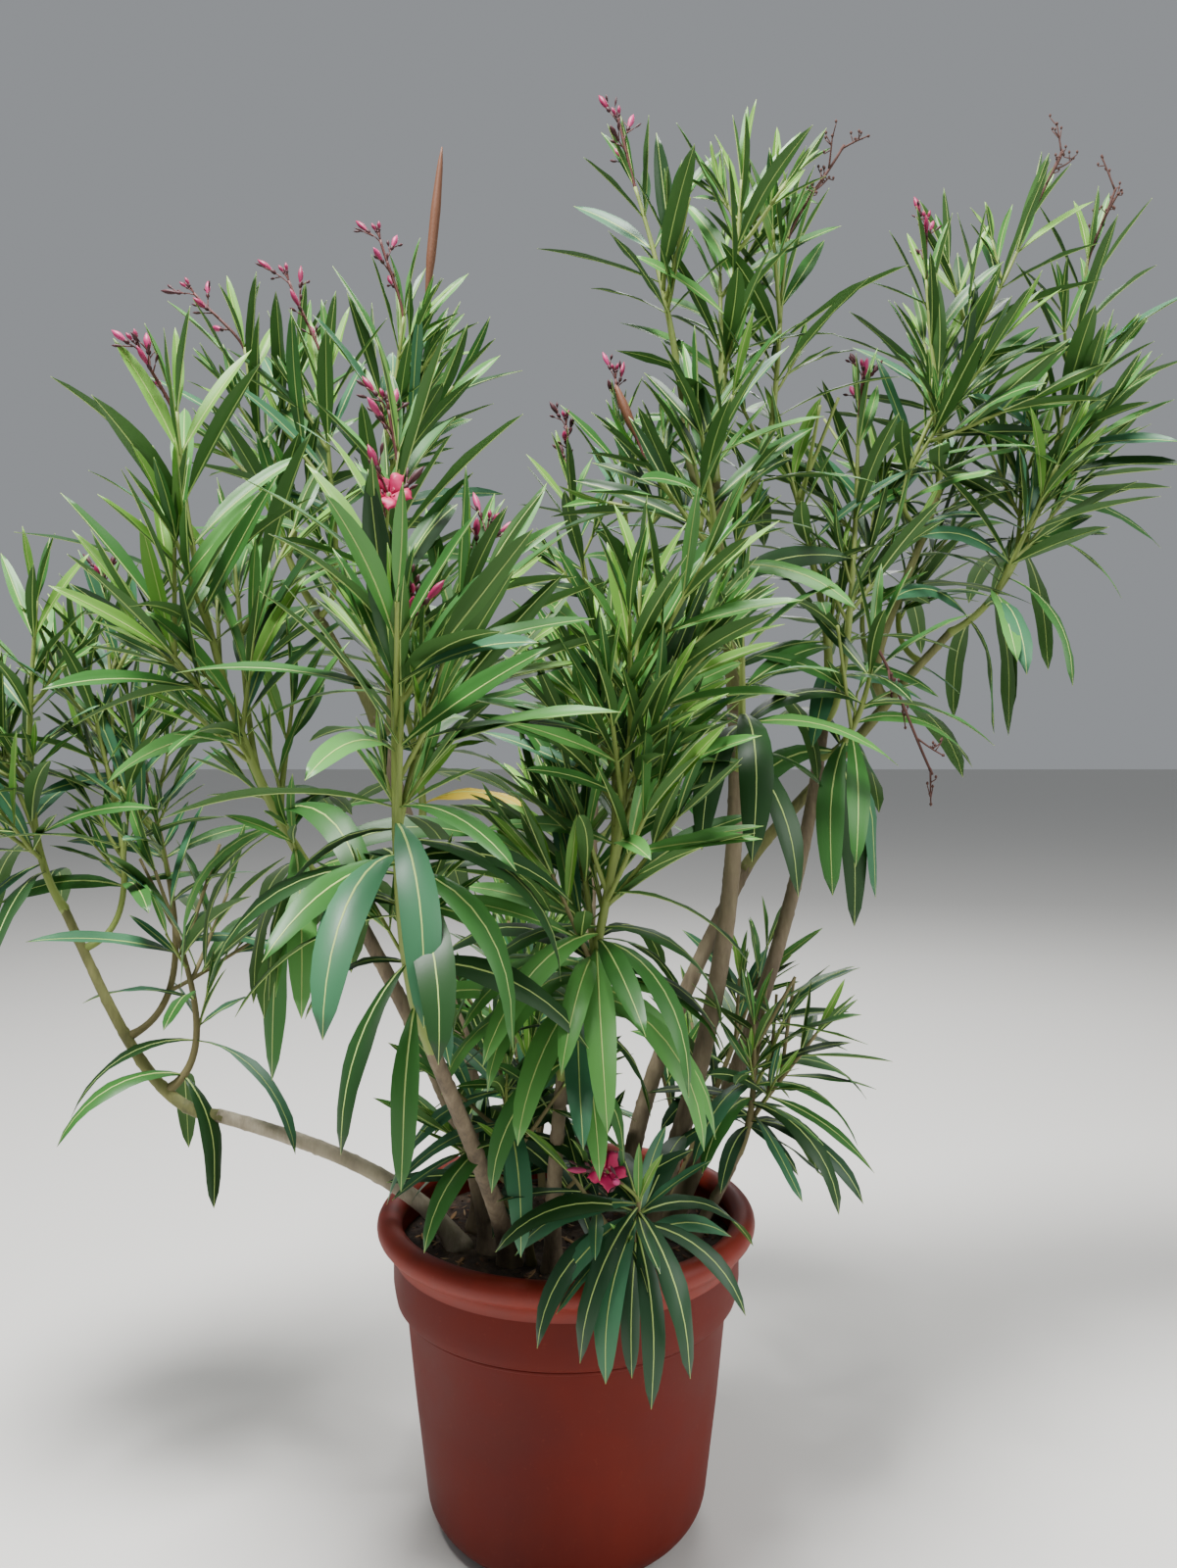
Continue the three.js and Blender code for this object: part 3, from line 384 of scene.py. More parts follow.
@dataclass
class Shoot:
    """A twig: its curve, its end radii, its rings of leaves, its flower head and where it is let in."""

    line: Line
    girth: tuple
    whorls: int
    bloom: tuple = None
    seat: Vector = None
    sprig: bool = False

    def ring_depths(self, gap):
        """How far below the tip each ring of leaves sits."""
        depths = [FIRST_WHORL_BELOW]
        for ring in range(self.whorls - 1):
            step = gap * (SPRIG_GAP_RATIO if self.sprig else 1) * (1 + WHORL_STRETCH * ring)
            depths.append(depths[-1] + step)
        return depths


@dataclass
class SideKind:
    """A kind of side twig that the seeded rule sets on a shoot. spacing is the mean way between two."""

    place: tuple
    lean: tuple
    reach: tuple
    lift: float
    girth: tuple
    whorls: int
    spacing: float = None
    sprig: bool = True

    def on(self, line, dice):
        at = dice.between(*self.place)
        start = line.at(at)
        turn = dice.roll() * CIRCLE
        lead = leaning(line.tangent(at), turn, dice.angle(*self.lean))
        tip = start + lead * dice.between(*self.reach) + UP * self.lift
        return Shoot(Line(start, lead, tip), self.girth, self.whorls, sprig=self.sprig)

    def along(self, shoots, crowding, dice):
        """Side twigs along each of some shoots. The lower the crowding value, the closer they stand."""
        counts = [round(shoot.line.length() / (self.spacing * crowding)) for shoot in shoots]
        return [self.on(shoot.line, dice) for shoot, count in zip(shoots, counts) for _ in range(count)]


# Small sprigs as in the source. The finer shoots that follow are the scene's own: side shoots with
# rings of grown leaves, and small sprigs with young ones.
SPRIG = SideKind((0.35, 0.8), (35, 50), (50, 90), 25, (3, 2), 2)
SIDE_SHOOT = SideKind((0.2, 0.86), (30, 52), (80, 150), 26, (3.2, 2), 3, spacing=300, sprig=False)
FINE_SPRIG = SideKind((0.22, 0.92), (32, 55), (34, 62), 16, (2.2, 1.4), 2, spacing=150)


@dataclass
class Leaf:
    """A leaf: its root, the way it sets out, its side direction and its size, bend and age, 0 to 1."""

    root: Vector
    direction: Vector
    across: Vector
    length: float
    bend: float
    age: float


@dataclass
class Head:
    """A flower head: its kind, its stalk and the root and tip of each of its first branches."""

    kind: str
    stalk: Line
    branches: tuple = ()


def leaning(axis, turn, lean):
    """A direction that leans from an axis by an angle, turned round it."""
    side = axis.cross(Vector((1, 0, 0)) if abs(axis.z) > UPRIGHT else UP).normalized()
    side = Matrix.Rotation(turn, 3, axis) @ side
    return axis * math.cos(lean) + side * math.sin(lean)


def soil_height(x, y):
    knee = SOIL_KNEE * SOIL_RADIUS
    reach = math.hypot(x, y)
    if reach < knee:
        return mix(SOIL_CROWN, SOIL_KNEE_HEIGHT, reach / knee)
    return mix(SOIL_KNEE_HEIGHT, SOIL_EDGE, (reach - knee) / (SOIL_RADIUS - knee))


def grow_line(row, grown):
    """The curve of a limb or stem, and the place that it is let in from."""
    end = Vector(row.tip)
    if row.foot:
        start = Vector((*row.foot, soil_height(*row.foot) + FOOT_CLEARANCE))
        outset = ((end - start).normalized() + UP * UPWARD_PULL).normalized()
        return Line(start, outset, end, row.bow), start - outset * SEAT_DEPTH
    line, _ = grown[row.on]
    if row.at is None:
        outset = line.tangent(1)
        start = line.at(1) + outset * GAP
        return Line(start, outset, end, row.bow), start - outset * SEAT_DEPTH
    axis = line.tangent(row.at)
    place = line.at(row.at)
    outward = end - place
    outward = (outward - axis * outward.dot(axis)).normalized()
    start = place + outward * (mix(*LIMBS[row.on].girth, row.at) + GAP)
    return Line(start, outward, end, row.bow), place


def grow_limbs():
    """Each limb's curve and seat by its name."""
    grown = {}
    for name, limb in LIMBS.items():
        grown[name] = grow_line(limb, grown)
    return grown


def stem_radius(mass):
    if mass.foot:
        return SOIL_TWIG_RADIUS
    girth = LIMBS[mass.on].girth
    if mass.at is None:
        return min(mix(*girth, 1) * TIP_TWIG_RATIO, THICKEST_TWIG)
    return min(mix(*girth, mass.at) * SIDE_TWIG_RATIO, THICKEST_TWIG)


def shoots_of(mass, dice, limbs):
    """The shoots of one mass: its stem, the forks on it and small sprigs by the seeded rule."""
    line, seat = grow_line(mass, limbs)
    girth = (stem_radius(mass), TWIG_TIP_RADIUS)
    shoots = [Shoot(line, girth, mass.rings[0], mass.bloom, seat)]
    for at, tip, whorls, *bloom in mass.forks:
        start = line.at(at)
        lead = (line.tangent(at) + (Vector(tip) - start).normalized()).normalized()
        radii = (mix(*girth, at) * FORK_RATIO, TWIG_TIP_RADIUS)
        shoots.append(Shoot(Line(start, lead, Vector(tip)), radii, whorls, *bloom))
    return shoots + [SPRIG.on(line, dice) for _ in range(mass.sprigs)]


def pod_on(shoot, tip):
    """One long seed pod in the place of a flower head."""
    start, end = shoot.line.at(HEAD_START), Vector(tip)
    return Head("pod", Line(start, (end - start).normalized(), end))


def head_of(shoot, dice):
    """What a shoot's tip carries."""
    kind, tip = shoot.bloom
    if kind == "pod":
        return pod_on(shoot, tip)
    stalk = Line(shoot.line.at(HEAD_START), shoot.line.tangent(1), Vector(tip))
    branches = []
    for i in range(BUDS):
        turn = i * BUD_TURN + dice.roll() * BUD_TURN_SWAY
        root = stalk.at(mix(*BUD_PLACE, i / (BUDS - 1)))
        direction = leaning(stalk.tangent(1), turn, dice.angle(*BUD_LEAN))
        branches.append((root, root + direction * (BUD_LENGTH * dice.between(*BUD_LENGTHS))))
    return Head(kind, stalk, branches)


def leaf_side(axis, direction):
    """A leaf lies across its shoot and turns its face some way to the light."""
    natural = direction.cross(axis).normalized()
    lit = direction.cross(LIGHT).normalized()
    return natural.lerp(lit, FACING_LIGHT).normalized()


def leaves_of(shoot, mass, dice):
    """Rings of three leaves, close and upright at the tip, wide and bent lower down."""
    leaves = []
    longest, spread, droop = mass.leaf
    whorls, gap = mass.rings
    span = shoot.line.length()
    phase = dice.roll() * 360
    size = SPRIG_LEAF_RATIO if shoot.sprig else 1
    for ring, below in enumerate(shoot.ring_depths(gap)):
        t = 1 - below / span
        age = ring / (whorls - 1)
        axis = shoot.line.tangent(max(t, 0))
        for i in range(LEAVES_ROUND):
            turn = phase + ring * WHORL_TURN + i * 360 / LEAVES_ROUND + dice.between(*TURN_SWAY)
            lean = mix(TIP_LEAN, spread, age**AGE_OPENING) + dice.between(*LEAN_SWAY)
            grown = min(1, mix(TIP_LEAF_RATIO, 1, ring / FULL_GROWN_RING))
            length = longest * size * grown * dice.between(*LEAF_LENGTHS)
            bend = (LEAST_BEND + droop * age**AGE_BENDING) * dice.between(*BENDS)
            roll_over = dice.angle(*ROLL_OVER)
            # The source rolls here for which leaves its solids hold, and the scene shows them all
            dice.roll()
            lost = dice.roll() < OLD_LEAF_LOSS * age
            if t > BARE_FOOT and not lost:
                direction = leaning(axis, math.radians(turn), max(math.radians(lean), LEAST_LEAN))
                across = Matrix.Rotation(roll_over, 3, direction) @ leaf_side(axis, direction)
                root = shoot.line.at(t)
                leaves.append(Leaf(root, direction, across, length, math.radians(bend), age))
    return leaves


def skirt_of(stem, skirt, dice):
    """Long old leaves round part of a stem, each bent down by its own weight."""
    leaves = []
    start, end, count, longest = skirt
    phase = dice.roll() * 360
    for i in range(count):
        t = mix(start, end, (i + dice.roll()) / count)
        axis = stem.line.tangent(t)
        turn = math.radians(phase + i * SKIRT_TURN + dice.between(*TURN_SWAY))
        direction = leaning(axis, turn, dice.angle(*SKIRT_LEAN))
        length = longest * dice.between(*LEAF_LENGTHS)
        bend = math.radians(length * SKIRT_BEND_PER_LENGTH * dice.between(*SKIRT_BENDS))
        leaves.append(Leaf(stem.line.at(t), direction, leaf_side(axis, direction), length, bend, 1))
    return leaves


# Meshes from swept rings

FEWEST_STEPS = 4
NEARLY_ALONG = 0.2
SPINDLE_END = 0.06
SPINDLE_TWIST = 2.2


class Heap:
    """Faces gathered for one piece, each with the number of its material."""

    def __init__(self):
        self.points = []
        self.faces = []
        self.tones = []
        self.sharp = []
        self.count = 0

    def add(self, points, faces, tones, sharp=None):
        corners = points.reshape(-1, 3)
        self.points.append(corners)
        self.faces.append(faces + self.count)
        self.tones.append(np.broadcast_to(tones, len(faces)))
        self.sharp.append(np.zeros(len(corners), bool) if sharp is None else sharp)
        self.count += len(corners)

    def sweep(self, rings, tone):
        """A closed skin over rings of points that run anticlockwise seen from the far end."""
        self.add(rings, sweep_faces(*rings.shape[:2]), tone)

    def tube(self, points, radii, around, tone):
        """A closed round skin over a spine."""
        self.sweep(tube_rings(points, np.repeat(radii[:, None], around, axis=1)), tone)

    def piece(self, name, materials, slot, nodes):
        points = np.concatenate(self.points) * MM
        faces = np.concatenate(self.faces)
        mesh = bpy.data.meshes.new(name)
        mesh.vertices.add(len(points))
        mesh.vertices.foreach_set("co", points.astype(np.float32).ravel())
        mesh.loops.add(faces.size)
        mesh.loops.foreach_set("vertex_index", faces.astype(np.int32).ravel())
        mesh.polygons.add(len(faces))
        mesh.polygons.foreach_set("loop_start", np.arange(0, faces.size, 4, dtype=np.int32))
        mesh.update(calc_edges=True)
        for material in materials:
            mesh.materials.append(material)
        mesh.polygons.foreach_set("material_index", np.concatenate(self.tones).astype(np.int32))
        mesh.shade_smooth()
        self.mark_margins(mesh)
        item = linked(name, mesh)
        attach(item, "root")
        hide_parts(*nodes)

    def mark_margins(self, mesh):
        sharp = np.concatenate(self.sharp)
        if sharp.any():
            ends = np.empty(2 * len(mesh.edges), np.int32)
            mesh.edges.foreach_get("vertices", ends)
            marks = mesh.attributes.new("sharp_edge", "BOOLEAN", "EDGE")
            marks.data.foreach_set("value", sharp[ends.reshape(-1, 2)].all(axis=1))


def linked(name, data):
    """A new object in the scene."""
    item = bpy.data.objects.new(name, data)
    bpy.context.scene.collection.objects.link(item)
    return item


def sweep_faces(rings, around):
    """Four-sided faces between rings, with both ends closed by a ladder of faces."""
    ring, corner = np.meshgrid(np.arange(rings - 1), np.arange(around), indexing="ij")
    here = ring * around + corner
    beside = ring * around + (corner + 1) % around
    walls = np.stack([here, beside, beside + around, here + around], axis=-1).reshape(-1, 4)
    rung = np.arange(around // 2 - 1)
    cap = np.stack([rung, rung + 1, around - 2 - rung, around - 1 - rung], axis=-1)
    far = (rings - 1) * around
    return np.concatenate([walls, cap[:, ::-1], cap + far])


def many_faces(copies, rings, around):
    """The faces of several sweeps of the same form, stored one after another."""
    shift = np.arange(copies)[:, None, None] * rings * around
    return (sweep_faces(rings, around) + shift).reshape(-1, 4)


def round_turns(count):
    """Even turns round a circle."""
    return np.arange(count) * 2 * math.pi / count


def unit(vectors):
    return vectors / np.linalg.norm(vectors, axis=-1, keepdims=True)


def dot(a, b):
    return (a * b).sum(axis=-1, keepdims=True)


def swell(values, middle, width):
    """A smooth swelling along some values, 1 at its middle."""
    return np.exp(-(((values - middle) / width) ** 2))


def spine_frames(points):
    """Side directions along a line of points that turn with it and never twist."""
    tangents = unit(np.gradient(points, axis=0))
    side = np.cross((0.0, 1.0, 0.0), tangents[0])
    if np.linalg.norm(side) < NEARLY_ALONG:
        side = np.cross((1.0, 0.0, 0.0), tangents[0])
    sides = []
    for tangent in tangents:
        side = unit(side - tangent * dot(side, tangent))
        sides.append(side)
    sides = np.array(sides)
    return sides, np.cross(tangents, sides)


def section_rings(lines, side, face, out, lift):
    """Rings set across lines: each point stands out to the side and lifts toward the face."""
    lines, side, face = (values[..., None, :] for values in (lines, side, face))
    return lines + side * out[..., None] + face * lift[..., None]


def tube_rings(points, radii):
    """Rings round a spine. Radii has one value for each point of each ring."""
    sides, others = (vectors[:, None] for vectors in spine_frames(points))
    turn = round_turns(radii.shape[1])[None, :, None]
    out = sides * np.cos(turn) + others * np.sin(turn)
    return points[:, None] + out * radii[:, :, None]


def tapered(along, girth):
    """Radii along a spine from one end's radius to the other's."""
    return np.interp(along / along[-1], (0, 1), girth)


def line_points(line, step):
    """Points along a curve about one step apart, and how far along it each one is."""
    count = max(FEWEST_STEPS, round(line.length() / step)) + 1
    points = np.array([line.at(i / (count - 1)) for i in range(count)])
    along = np.concatenate([[0], np.cumsum(np.linalg.norm(np.diff(points, axis=0), axis=1))])
    return points, along


def between_points(root, tip, steps):
    """Points on the straight from root to tip, and the share of the way at each."""
    root, tip = np.array(root), np.array(tip)
    share = np.linspace(0, 1, steps + 1)
    return root + (tip - root) * share[:, None], share


def spindle(heap, root, tip, widest, tone, steps=8, around=8, fullest=0.55, ribs=0, rib_depth=0.0):
    """A closed bud or pod form: pointed at both ends, fullest part way up, with ribs if asked."""
    points, share = between_points(root, tip, steps)
    warp = share ** (math.log(0.5) / math.log(fullest))
    body = np.maximum(np.sin(math.pi * warp), SPINDLE_END) * widest
    relief = 1 + rib_depth * np.cos(ribs * round_turns(around) + SPINDLE_TWIST * share[:, None])
    heap.sweep(tube_rings(points, body[:, None] * relief), tone)


def rod(heap, root, tip, radii, tone, sag=0.0, steps=5, around=8):
    """A short thin stalk between two points, bent down or up in the middle by its sag."""
    points, share = between_points(root, tip, steps)
    points[:, 2] -= sag * np.sin(math.pi * share)
    heap.tube(points, tapered(share, radii), around, tone)


# Materials


def linear(value):
    """A level from 0 to 255 on a screen as the linear one that shaders use."""
    level = value / 255
    return level / 12.92 if level <= 0.04045 else ((level + 0.055) / 1.055) ** 2.4


def colour(rgb):
    return (*map(linear, rgb), 1)


def fill(node, levels):
    for socket, value in levels.items():
        node.inputs[socket].default_value = value


class Material:
    """A principled material with short ways to add the patterns that drive it."""

    def __init__(self, name, rgb, roughness, levels=None):
        self.material = bpy.data.materials.new(name)
        self.material.use_nodes = True
        self.nodes = self.material.node_tree.nodes
        self.shader = self.nodes["Principled BSDF"]
        self.material.diffuse_color = colour(rgb)
        fill(self.shader, {"Base Color": colour(rgb), "Roughness": roughness, **(levels or {})})
        self.place = None

    def link(self, start, end):
        self.material.node_tree.links.new(start, end)

    def paint(self, output, socket="Base Color"):
        self.link(output, self.shader.inputs[socket])

    def noise(self, scale, detail=3, stretch=(1, 1, 1), roughness=0.5):
        """Noise over the object's own coordinates, stretched."""
        node = self.nodes.new("ShaderNodeTexNoise")
        fill(node, {"Scale": scale, "Detail": detail, "Roughness": roughness})
        if self.place is None:
            self.place = self.nodes.new("ShaderNodeTexCoord")
        mapping = self.nodes.new("ShaderNodeMapping")
        fill(mapping, {"Scale": stretch})
        self.link(self.place.outputs["Object"], mapping.inputs["Vector"])
        self.link(mapping.outputs["Vector"], node.inputs["Vector"])
        return node.outputs["Fac"]

    def ramp(self, value, *stops):
        node = self.nodes.new("ShaderNodeValToRGB")
        elements = node.color_ramp.elements
        while len(elements) < len(stops):
            elements.new(0.5)
        for element, (place, rgb) in zip(elements, stops):
            element.position = place
            element.color = colour(rgb)
        self.link(value, node.inputs["Fac"])
        return node.outputs["Color"]

    def mixed(self, share, first, second):
        node = self.nodes.new("ShaderNodeMix")
        node.data_type = "RGBA"
        self.link(share, node.inputs["Factor"])
        self.link(first, node.inputs[6])
        self.link(second, node.inputs[7])
        return node.outputs[2]

    def ranged(self, value, low, high, to_low, to_high):
        node = self.nodes.new("ShaderNodeMapRange")
        fill(node, {"From Min": low, "From Max": high, "To Min": to_low, "To Max": to_high})
        self.link(value, node.inputs["Value"])
        return node.outputs["Result"]

    def bump(self, height, strength, distance):
        """Relief, added to what is there already."""
        node = self.nodes.new("ShaderNodeBump")
        fill(node, {"Strength": strength, "Distance": distance})
        self.link(height, node.inputs["Height"])
        previous = self.shader.inputs["Normal"].links
        if previous:
            self.link(previous[0].from_socket, node.inputs["Normal"])
        self.paint(node.outputs["Normal"], "Normal")


def leaf_material(name, rgb, roughness=0.46, gloss=0.04):
    levels = {"Specular IOR Level": 0.34, "Coat Weight": gloss, "Coat Roughness": 0.3}
    made = Material(name, rgb, roughness, levels)
    made.bump(made.noise(420, 2, stretch=(1, 1, 0.6)), 0.12, 0.0005)
    return made.material


def plain_material(name, rgb, roughness):
    made = Material(name, rgb, roughness)
    made.bump(made.noise(300), 0.3, 0.0008)
    return made.material


def plain_materials(rows):
    return [plain_material(*row) for row in rows]


# The tub's body: its red-brown plastic darkened with painted shade, so that it reads darker than the
# rim
def pot_material():
    made = Material("pot_plastic_painted_shade", (88, 16, 4), 0.6, {"Specular IOR Level": 0.22})
    cloud = made.noise(5, 5, roughness=0.6)
    base = made.ramp(cloud, (0.25, (78, 12, 2)), (0.5, (88, 16, 4)), (0.8, (100, 22, 6)))
    streaks = made.noise(14, 6, stretch=(1, 1, 0.18), roughness=0.65)
    washed = made.ramp(streaks, (0.3, (84, 16, 5)), (0.7, (108, 29, 11)))
    worn = made.mixed(made.ranged(made.noise(3.2, 4), 0.42, 0.68, 0, 0.5), base, washed)
    dust = made.ramp(made.noise(90, 4), (0, (110, 40, 24)), (1, (128, 58, 40)))
    specks = made.ranged(made.noise(120, 6, roughness=0.75), 0.6, 0.74, 0, 0.4)
    made.paint(made.mixed(specks, worn, dust))
    made.paint(made.ranged(cloud, 0.3, 0.7, 0.55, 0.7), "Roughness")
    made.bump(made.noise(260), 0.12, 0.0006)
    made.bump(made.noise(30, 5, stretch=(1, 1, 0.25)), 0.1, 0.001)
    return made.material


# The rim: the same plastic in a lighter tone, without the painted shade of the body
def rim_material():
    made = Material("pot_rim_plastic", (120, 32, 14), 0.5, {"Specular IOR Level": 0.35})
    cloud = made.noise(7, 5, roughness=0.62)
    base = made.ramp(cloud, (0.28, (104, 25, 10)), (0.52, (120, 32, 14)), (0.8, (138, 46, 26)))
    chalk = made.ramp(made.noise(60, 4), (0, (154, 76, 56)), (1, (134, 50, 32)))
    specks = made.ranged(made.noise(95, 6, roughness=0.75), 0.6, 0.76, 0, 0.4)
    made.paint(made.mixed(specks, base, chalk))
    made.paint(made.ranged(cloud, 0.3, 0.7, 0.45, 0.65), "Roughness")
    made.bump(made.noise(220), 0.12, 0.0006)
    return made.material


def soil_material():
    made = Material("soil_peat", (40, 31, 25), 0.95)
    crumbs = made.noise(70, 8, roughness=0.75)
    patches = made.noise(11, 4)
    dark = made.ramp(crumbs, (0.3, (24, 18, 14)), (0.52, (48, 36, 28)), (0.72, (84, 66, 50)))
    dry = made.ramp(crumbs, (0.3, (52, 42, 34)), (0.55, (86, 70, 54)), (0.75, (122, 104, 82)))
    made.paint(made.mixed(made.ranged(patches, 0.45, 0.65, 0, 0.75), dark, dry))
    made.bump(made.noise(160, 6, roughness=0.7), 0.8, 0.003)
    return made.material


def bark_material(name, dark, middle, pale, moss):
    made = Material(name, middle, 0.82)
    fissures = made.noise(38, 8, stretch=(1, 1, 0.22), roughness=0.7)
    base = made.ramp(fissures, (0.3, dark), (0.5, middle), (0.72, pale))
    tint = made.ramp(made.noise(60, 4), (0.2, moss), (0.8, middle))
    made.paint(made.mixed(made.ranged(made.noise(6, 4), 0.46, 0.64, 0, 0.6), base, tint))
    made.paint(made.ranged(fissures, 0.3, 0.7, 0.72, 0.92), "Roughness")
    made.bump(made.noise(160, 6, stretch=(1, 1, 0.35), roughness=0.7), 0.5, 0.0012)
    return made.material


# Leaves

LEAF_STEPS = 10
STATIONS = LEAF_STEPS + 1
LEAF_STEEPEST = math.radians(86)
SECTION_ACROSS = np.array([-1, -0.5, 0, 0.5, 1, 0.5, 0, -0.5])
SECTION_FACE = np.array([0, -1, -1, -1, 0, 1, 1, 1])
SECTION_OUT = np.abs(SECTION_ACROSS)
SECTION_SIDES = len(SECTION_ACROSS)
PETIOLE = 0.045
LEAF_THICKNESS = 0.5
RIB_ACROSS = np.array([-1, -1, 0, 1, 1])
RIB_STAND = np.array([0.62, -0.66, -0.95, -0.66, 0.62])
RIB_LEAF = 190

# A leaf's form: a young leaf's value, what age adds to it and what chance adds or takes. The half
# width and the sway are shares of the length, and the twist is in degrees.
HALF_WIDTH = (0.06, 0.013, 0.007)
LONG_LEAF_WIDTH = 0.00002
FOLD = (0.62, -0.55, 0.14)
FOLDS = (0.05, 0.8)
CURL = (0.1, 0.12, 0.08)
WAVE = (0.6, 1.1, 0.5)
WAVES_ALONG = 2.3
TWIST = (5, 16, 0)
TWIST_GATHER = 1.4
SWAY = 0.035
FULLNESS = (0.86, -0.2, 0)

# Along a leaf, root to tip: the share of the way, and there the stalk's half width, the thickness,
# and the midrib's half width and how far it stands out
SHARE = np.linspace(0, 1, STATIONS)
STALK_HALF = np.interp(SHARE, (0, 0.12, 1), (1.5, 1, 0.15))
THINNING = np.interp(SHARE, (0, 1), (1.6, 0.6))[:, None]
RIB_HALF = np.interp(SHARE, (0, 1), (1.15, 0.3))
RIB_FADE = np.interp(SHARE, (0, 0.8, 1), (1, 0.8, 0.3))[:, None]


def formed(form, age, draw=0):
    base, by_age, by_chance = form
    return base + by_age * age + by_chance * draw


def column(leaves, name):
    """One value of every leaf."""
    return np.array([getattr(leaf, name) for leaf in leaves])


def bent_lines(leaves):
    """The line down the middle of each leaf, which sets out one way and bends with its weight."""
    directions = column(leaves, "direction")
    rise = np.arcsin(np.clip(directions[:, 2:], -1, 1))
    turns = (np.arange(LEAF_STEPS) + 0.5) / LEAF_STEPS
    slope = np.maximum(rise - column(leaves, "bend")[:, None] * turns, -LEAF_STEEPEST)
    steps = unit(directions * (1, 1, 0))[:, None] * np.cos(slope)[..., None]
    steps[..., 2] += np.sin(slope)
    steps *= (column(leaves, "length") / LEAF_STEPS)[:, None, None]
    start = np.zeros((len(leaves), 1, 3))
    return column(leaves, "root")[:, None] + np.concatenate([start, np.cumsum(steps, axis=1)], axis=1)


def leaf_skins(leaves, chance):
    """The blade and midrib rings of every leaf. Old leaves are wide, flat, twisted and wavy."""
    age, length = column(leaves, "age")[:, None], column(leaves, "length")[:, None]
    width_draw, *draws = chance.uniform(-1, 1, (6, len(leaves), 1))
    fold_draw, curl_draw, twist_draw, sway_draw, wave_draw = draws
    half_width = length * formed(HALF_WIDTH, age, width_draw) + LONG_LEAF_WIDTH * length**2
    fold = np.clip(formed(FOLD, age, fold_draw), *FOLDS)[..., None]
    curl = formed(CURL, age, curl_draw)[..., None]
    wave = formed(WAVE, age, wave_draw)[..., None]

    lines, across = bent_lines(leaves), column(leaves, "across")[:, None]
    tangents = unit(np.gradient(lines, axis=1))
    side = unit(across - tangents * dot(across, tangents))
    face = np.cross(side, tangents)
    twist = (np.radians(formed(TWIST, age)) * twist_draw * SHARE**TWIST_GATHER)[..., None]
    cos, sin = np.cos(twist), np.sin(twist)
    side, face = side * cos + face * sin, face * cos - side * sin
    lines = lines + side * (length * SWAY * sway_draw * np.sin(math.pi * SHARE))[..., None]

    blade = np.clip((SHARE - PETIOLE) / (1 - PETIOLE), 0, 1)
    rise = np.maximum(4 * blade * (1 - blade), 0) ** formed(FULLNESS, age)
    half = np.maximum(half_width * rise, STALK_HALF)[..., None]
    ripple = np.sin(CIRCLE * (WAVES_ALONG * SHARE + width_draw * math.pi))[..., None]
    ripple = ripple * np.sign(SECTION_ACROSS) * SECTION_OUT**2
    height = (fold * SECTION_OUT - curl * SECTION_OUT**3) * half + wave * ripple * rise[..., None]
    height = height + SECTION_FACE * LEAF_THICKNESS / 2 * THINNING
    skin = section_rings(lines, side, face, SECTION_ACROSS * half, height)
    rib_out = (RIB_HALF * (length / RIB_LEAF) ** 0.5)[..., None] * RIB_ACROSS
    rib = section_rings(lines, side, face, rib_out, RIB_STAND * RIB_FADE + fold * np.abs(rib_out))
    return skin, rib


def add_leaves(heap, leaves, tones, chance):
    """Blades with an upper tone of their own, one under tone darkened with painted shade, and pale
    midribs.
    """
    skin, rib = leaf_skins(leaves, chance)
    faces = many_faces(len(leaves), STATIONS, SECTION_SIDES)
    place_round = np.arange(LEAF_STEPS * SECTION_SIDES) % SECTION_SIDES
    caps = np.ones(SECTION_SIDES - 2, bool)
    upper = np.concatenate([place_round >= SECTION_SIDES // 2, caps])
    # Under faces take the under tone, which is darkened with painted shade
    looks = np.where(upper, np.array(tones)[:, None], UNDER_TONE).ravel()
    # Both sides of a blade fold along the same diagonals, so that neither shows through the other
    turned = np.tile(upper, len(leaves))
    faces[turned] = np.roll(faces[turned], 1, axis=1)
    margin = np.tile(SECTION_FACE == 0, len(leaves) * STATIONS)
    heap.add(skin, faces, looks, margin)
    heap.add(rib, many_faces(len(leaves), STATIONS, len(RIB_ACROSS)), RIB_TONE)


# Leaf colours by age and by which mass they are in, with painted shade on leaves low in the crown

LEAF_TONES = (
    ("leaf_dark", (27, 62, 23)),
    ("leaf_mid", (48, 98, 38)),
    ("leaf_pale", (78, 134, 60)),
    ("leaf_fresh", (104, 154, 56)),
    ("leaf_bluish", (54, 104, 70)),
    # A tone of painted shade, for leaves low in the crown
    ("leaf_shade", (28, 62, 34)),
    ("leaf_yellow", (186, 160, 46)),
)
# The under side's own green, darkened with painted shade, as it faces away from the light
LEAF_UNDER_PAINTED_SHADE = ("leaf_under", (60, 98, 42), 0.6, 0)
MIDRIB = ("leaf_midrib", (166, 190, 104), 0.5)
UNDER_TONE = len(LEAF_TONES)
RIB_TONE = UNDER_TONE + 1
DARK, MID, PALE, FRESH, BLUISH, PAINTED_SHADE, YELLOW = range(len(LEAF_TONES))
TONE_MIXES = {
    "young": ((FRESH, 0.35), (PALE, 0.35), (MID, 0.3)),
    "grown": ((MID, 0.38), (DARK, 0.27), (BLUISH, 0.2), (PALE, 0.15)),
    "old": ((MID, 0.46), (DARK, 0.26), (BLUISH, 0.12), (PALE, 0.16)),
    # The next two mixes are painted shade: darker tones for leaves low in the crown, darkest at the
    # bottom
    "low": ((DARK, 0.3), (MID, 0.44), (BLUISH, 0.26)),
    "deepest_painted_shade": ((PAINTED_SHADE, 0.6), (DARK, 0.2), (BLUISH, 0.2)),
}
MASS_TONES = (MID, MID, PALE, DARK, BLUISH)
MASS_TONE_SHARE = 0.45

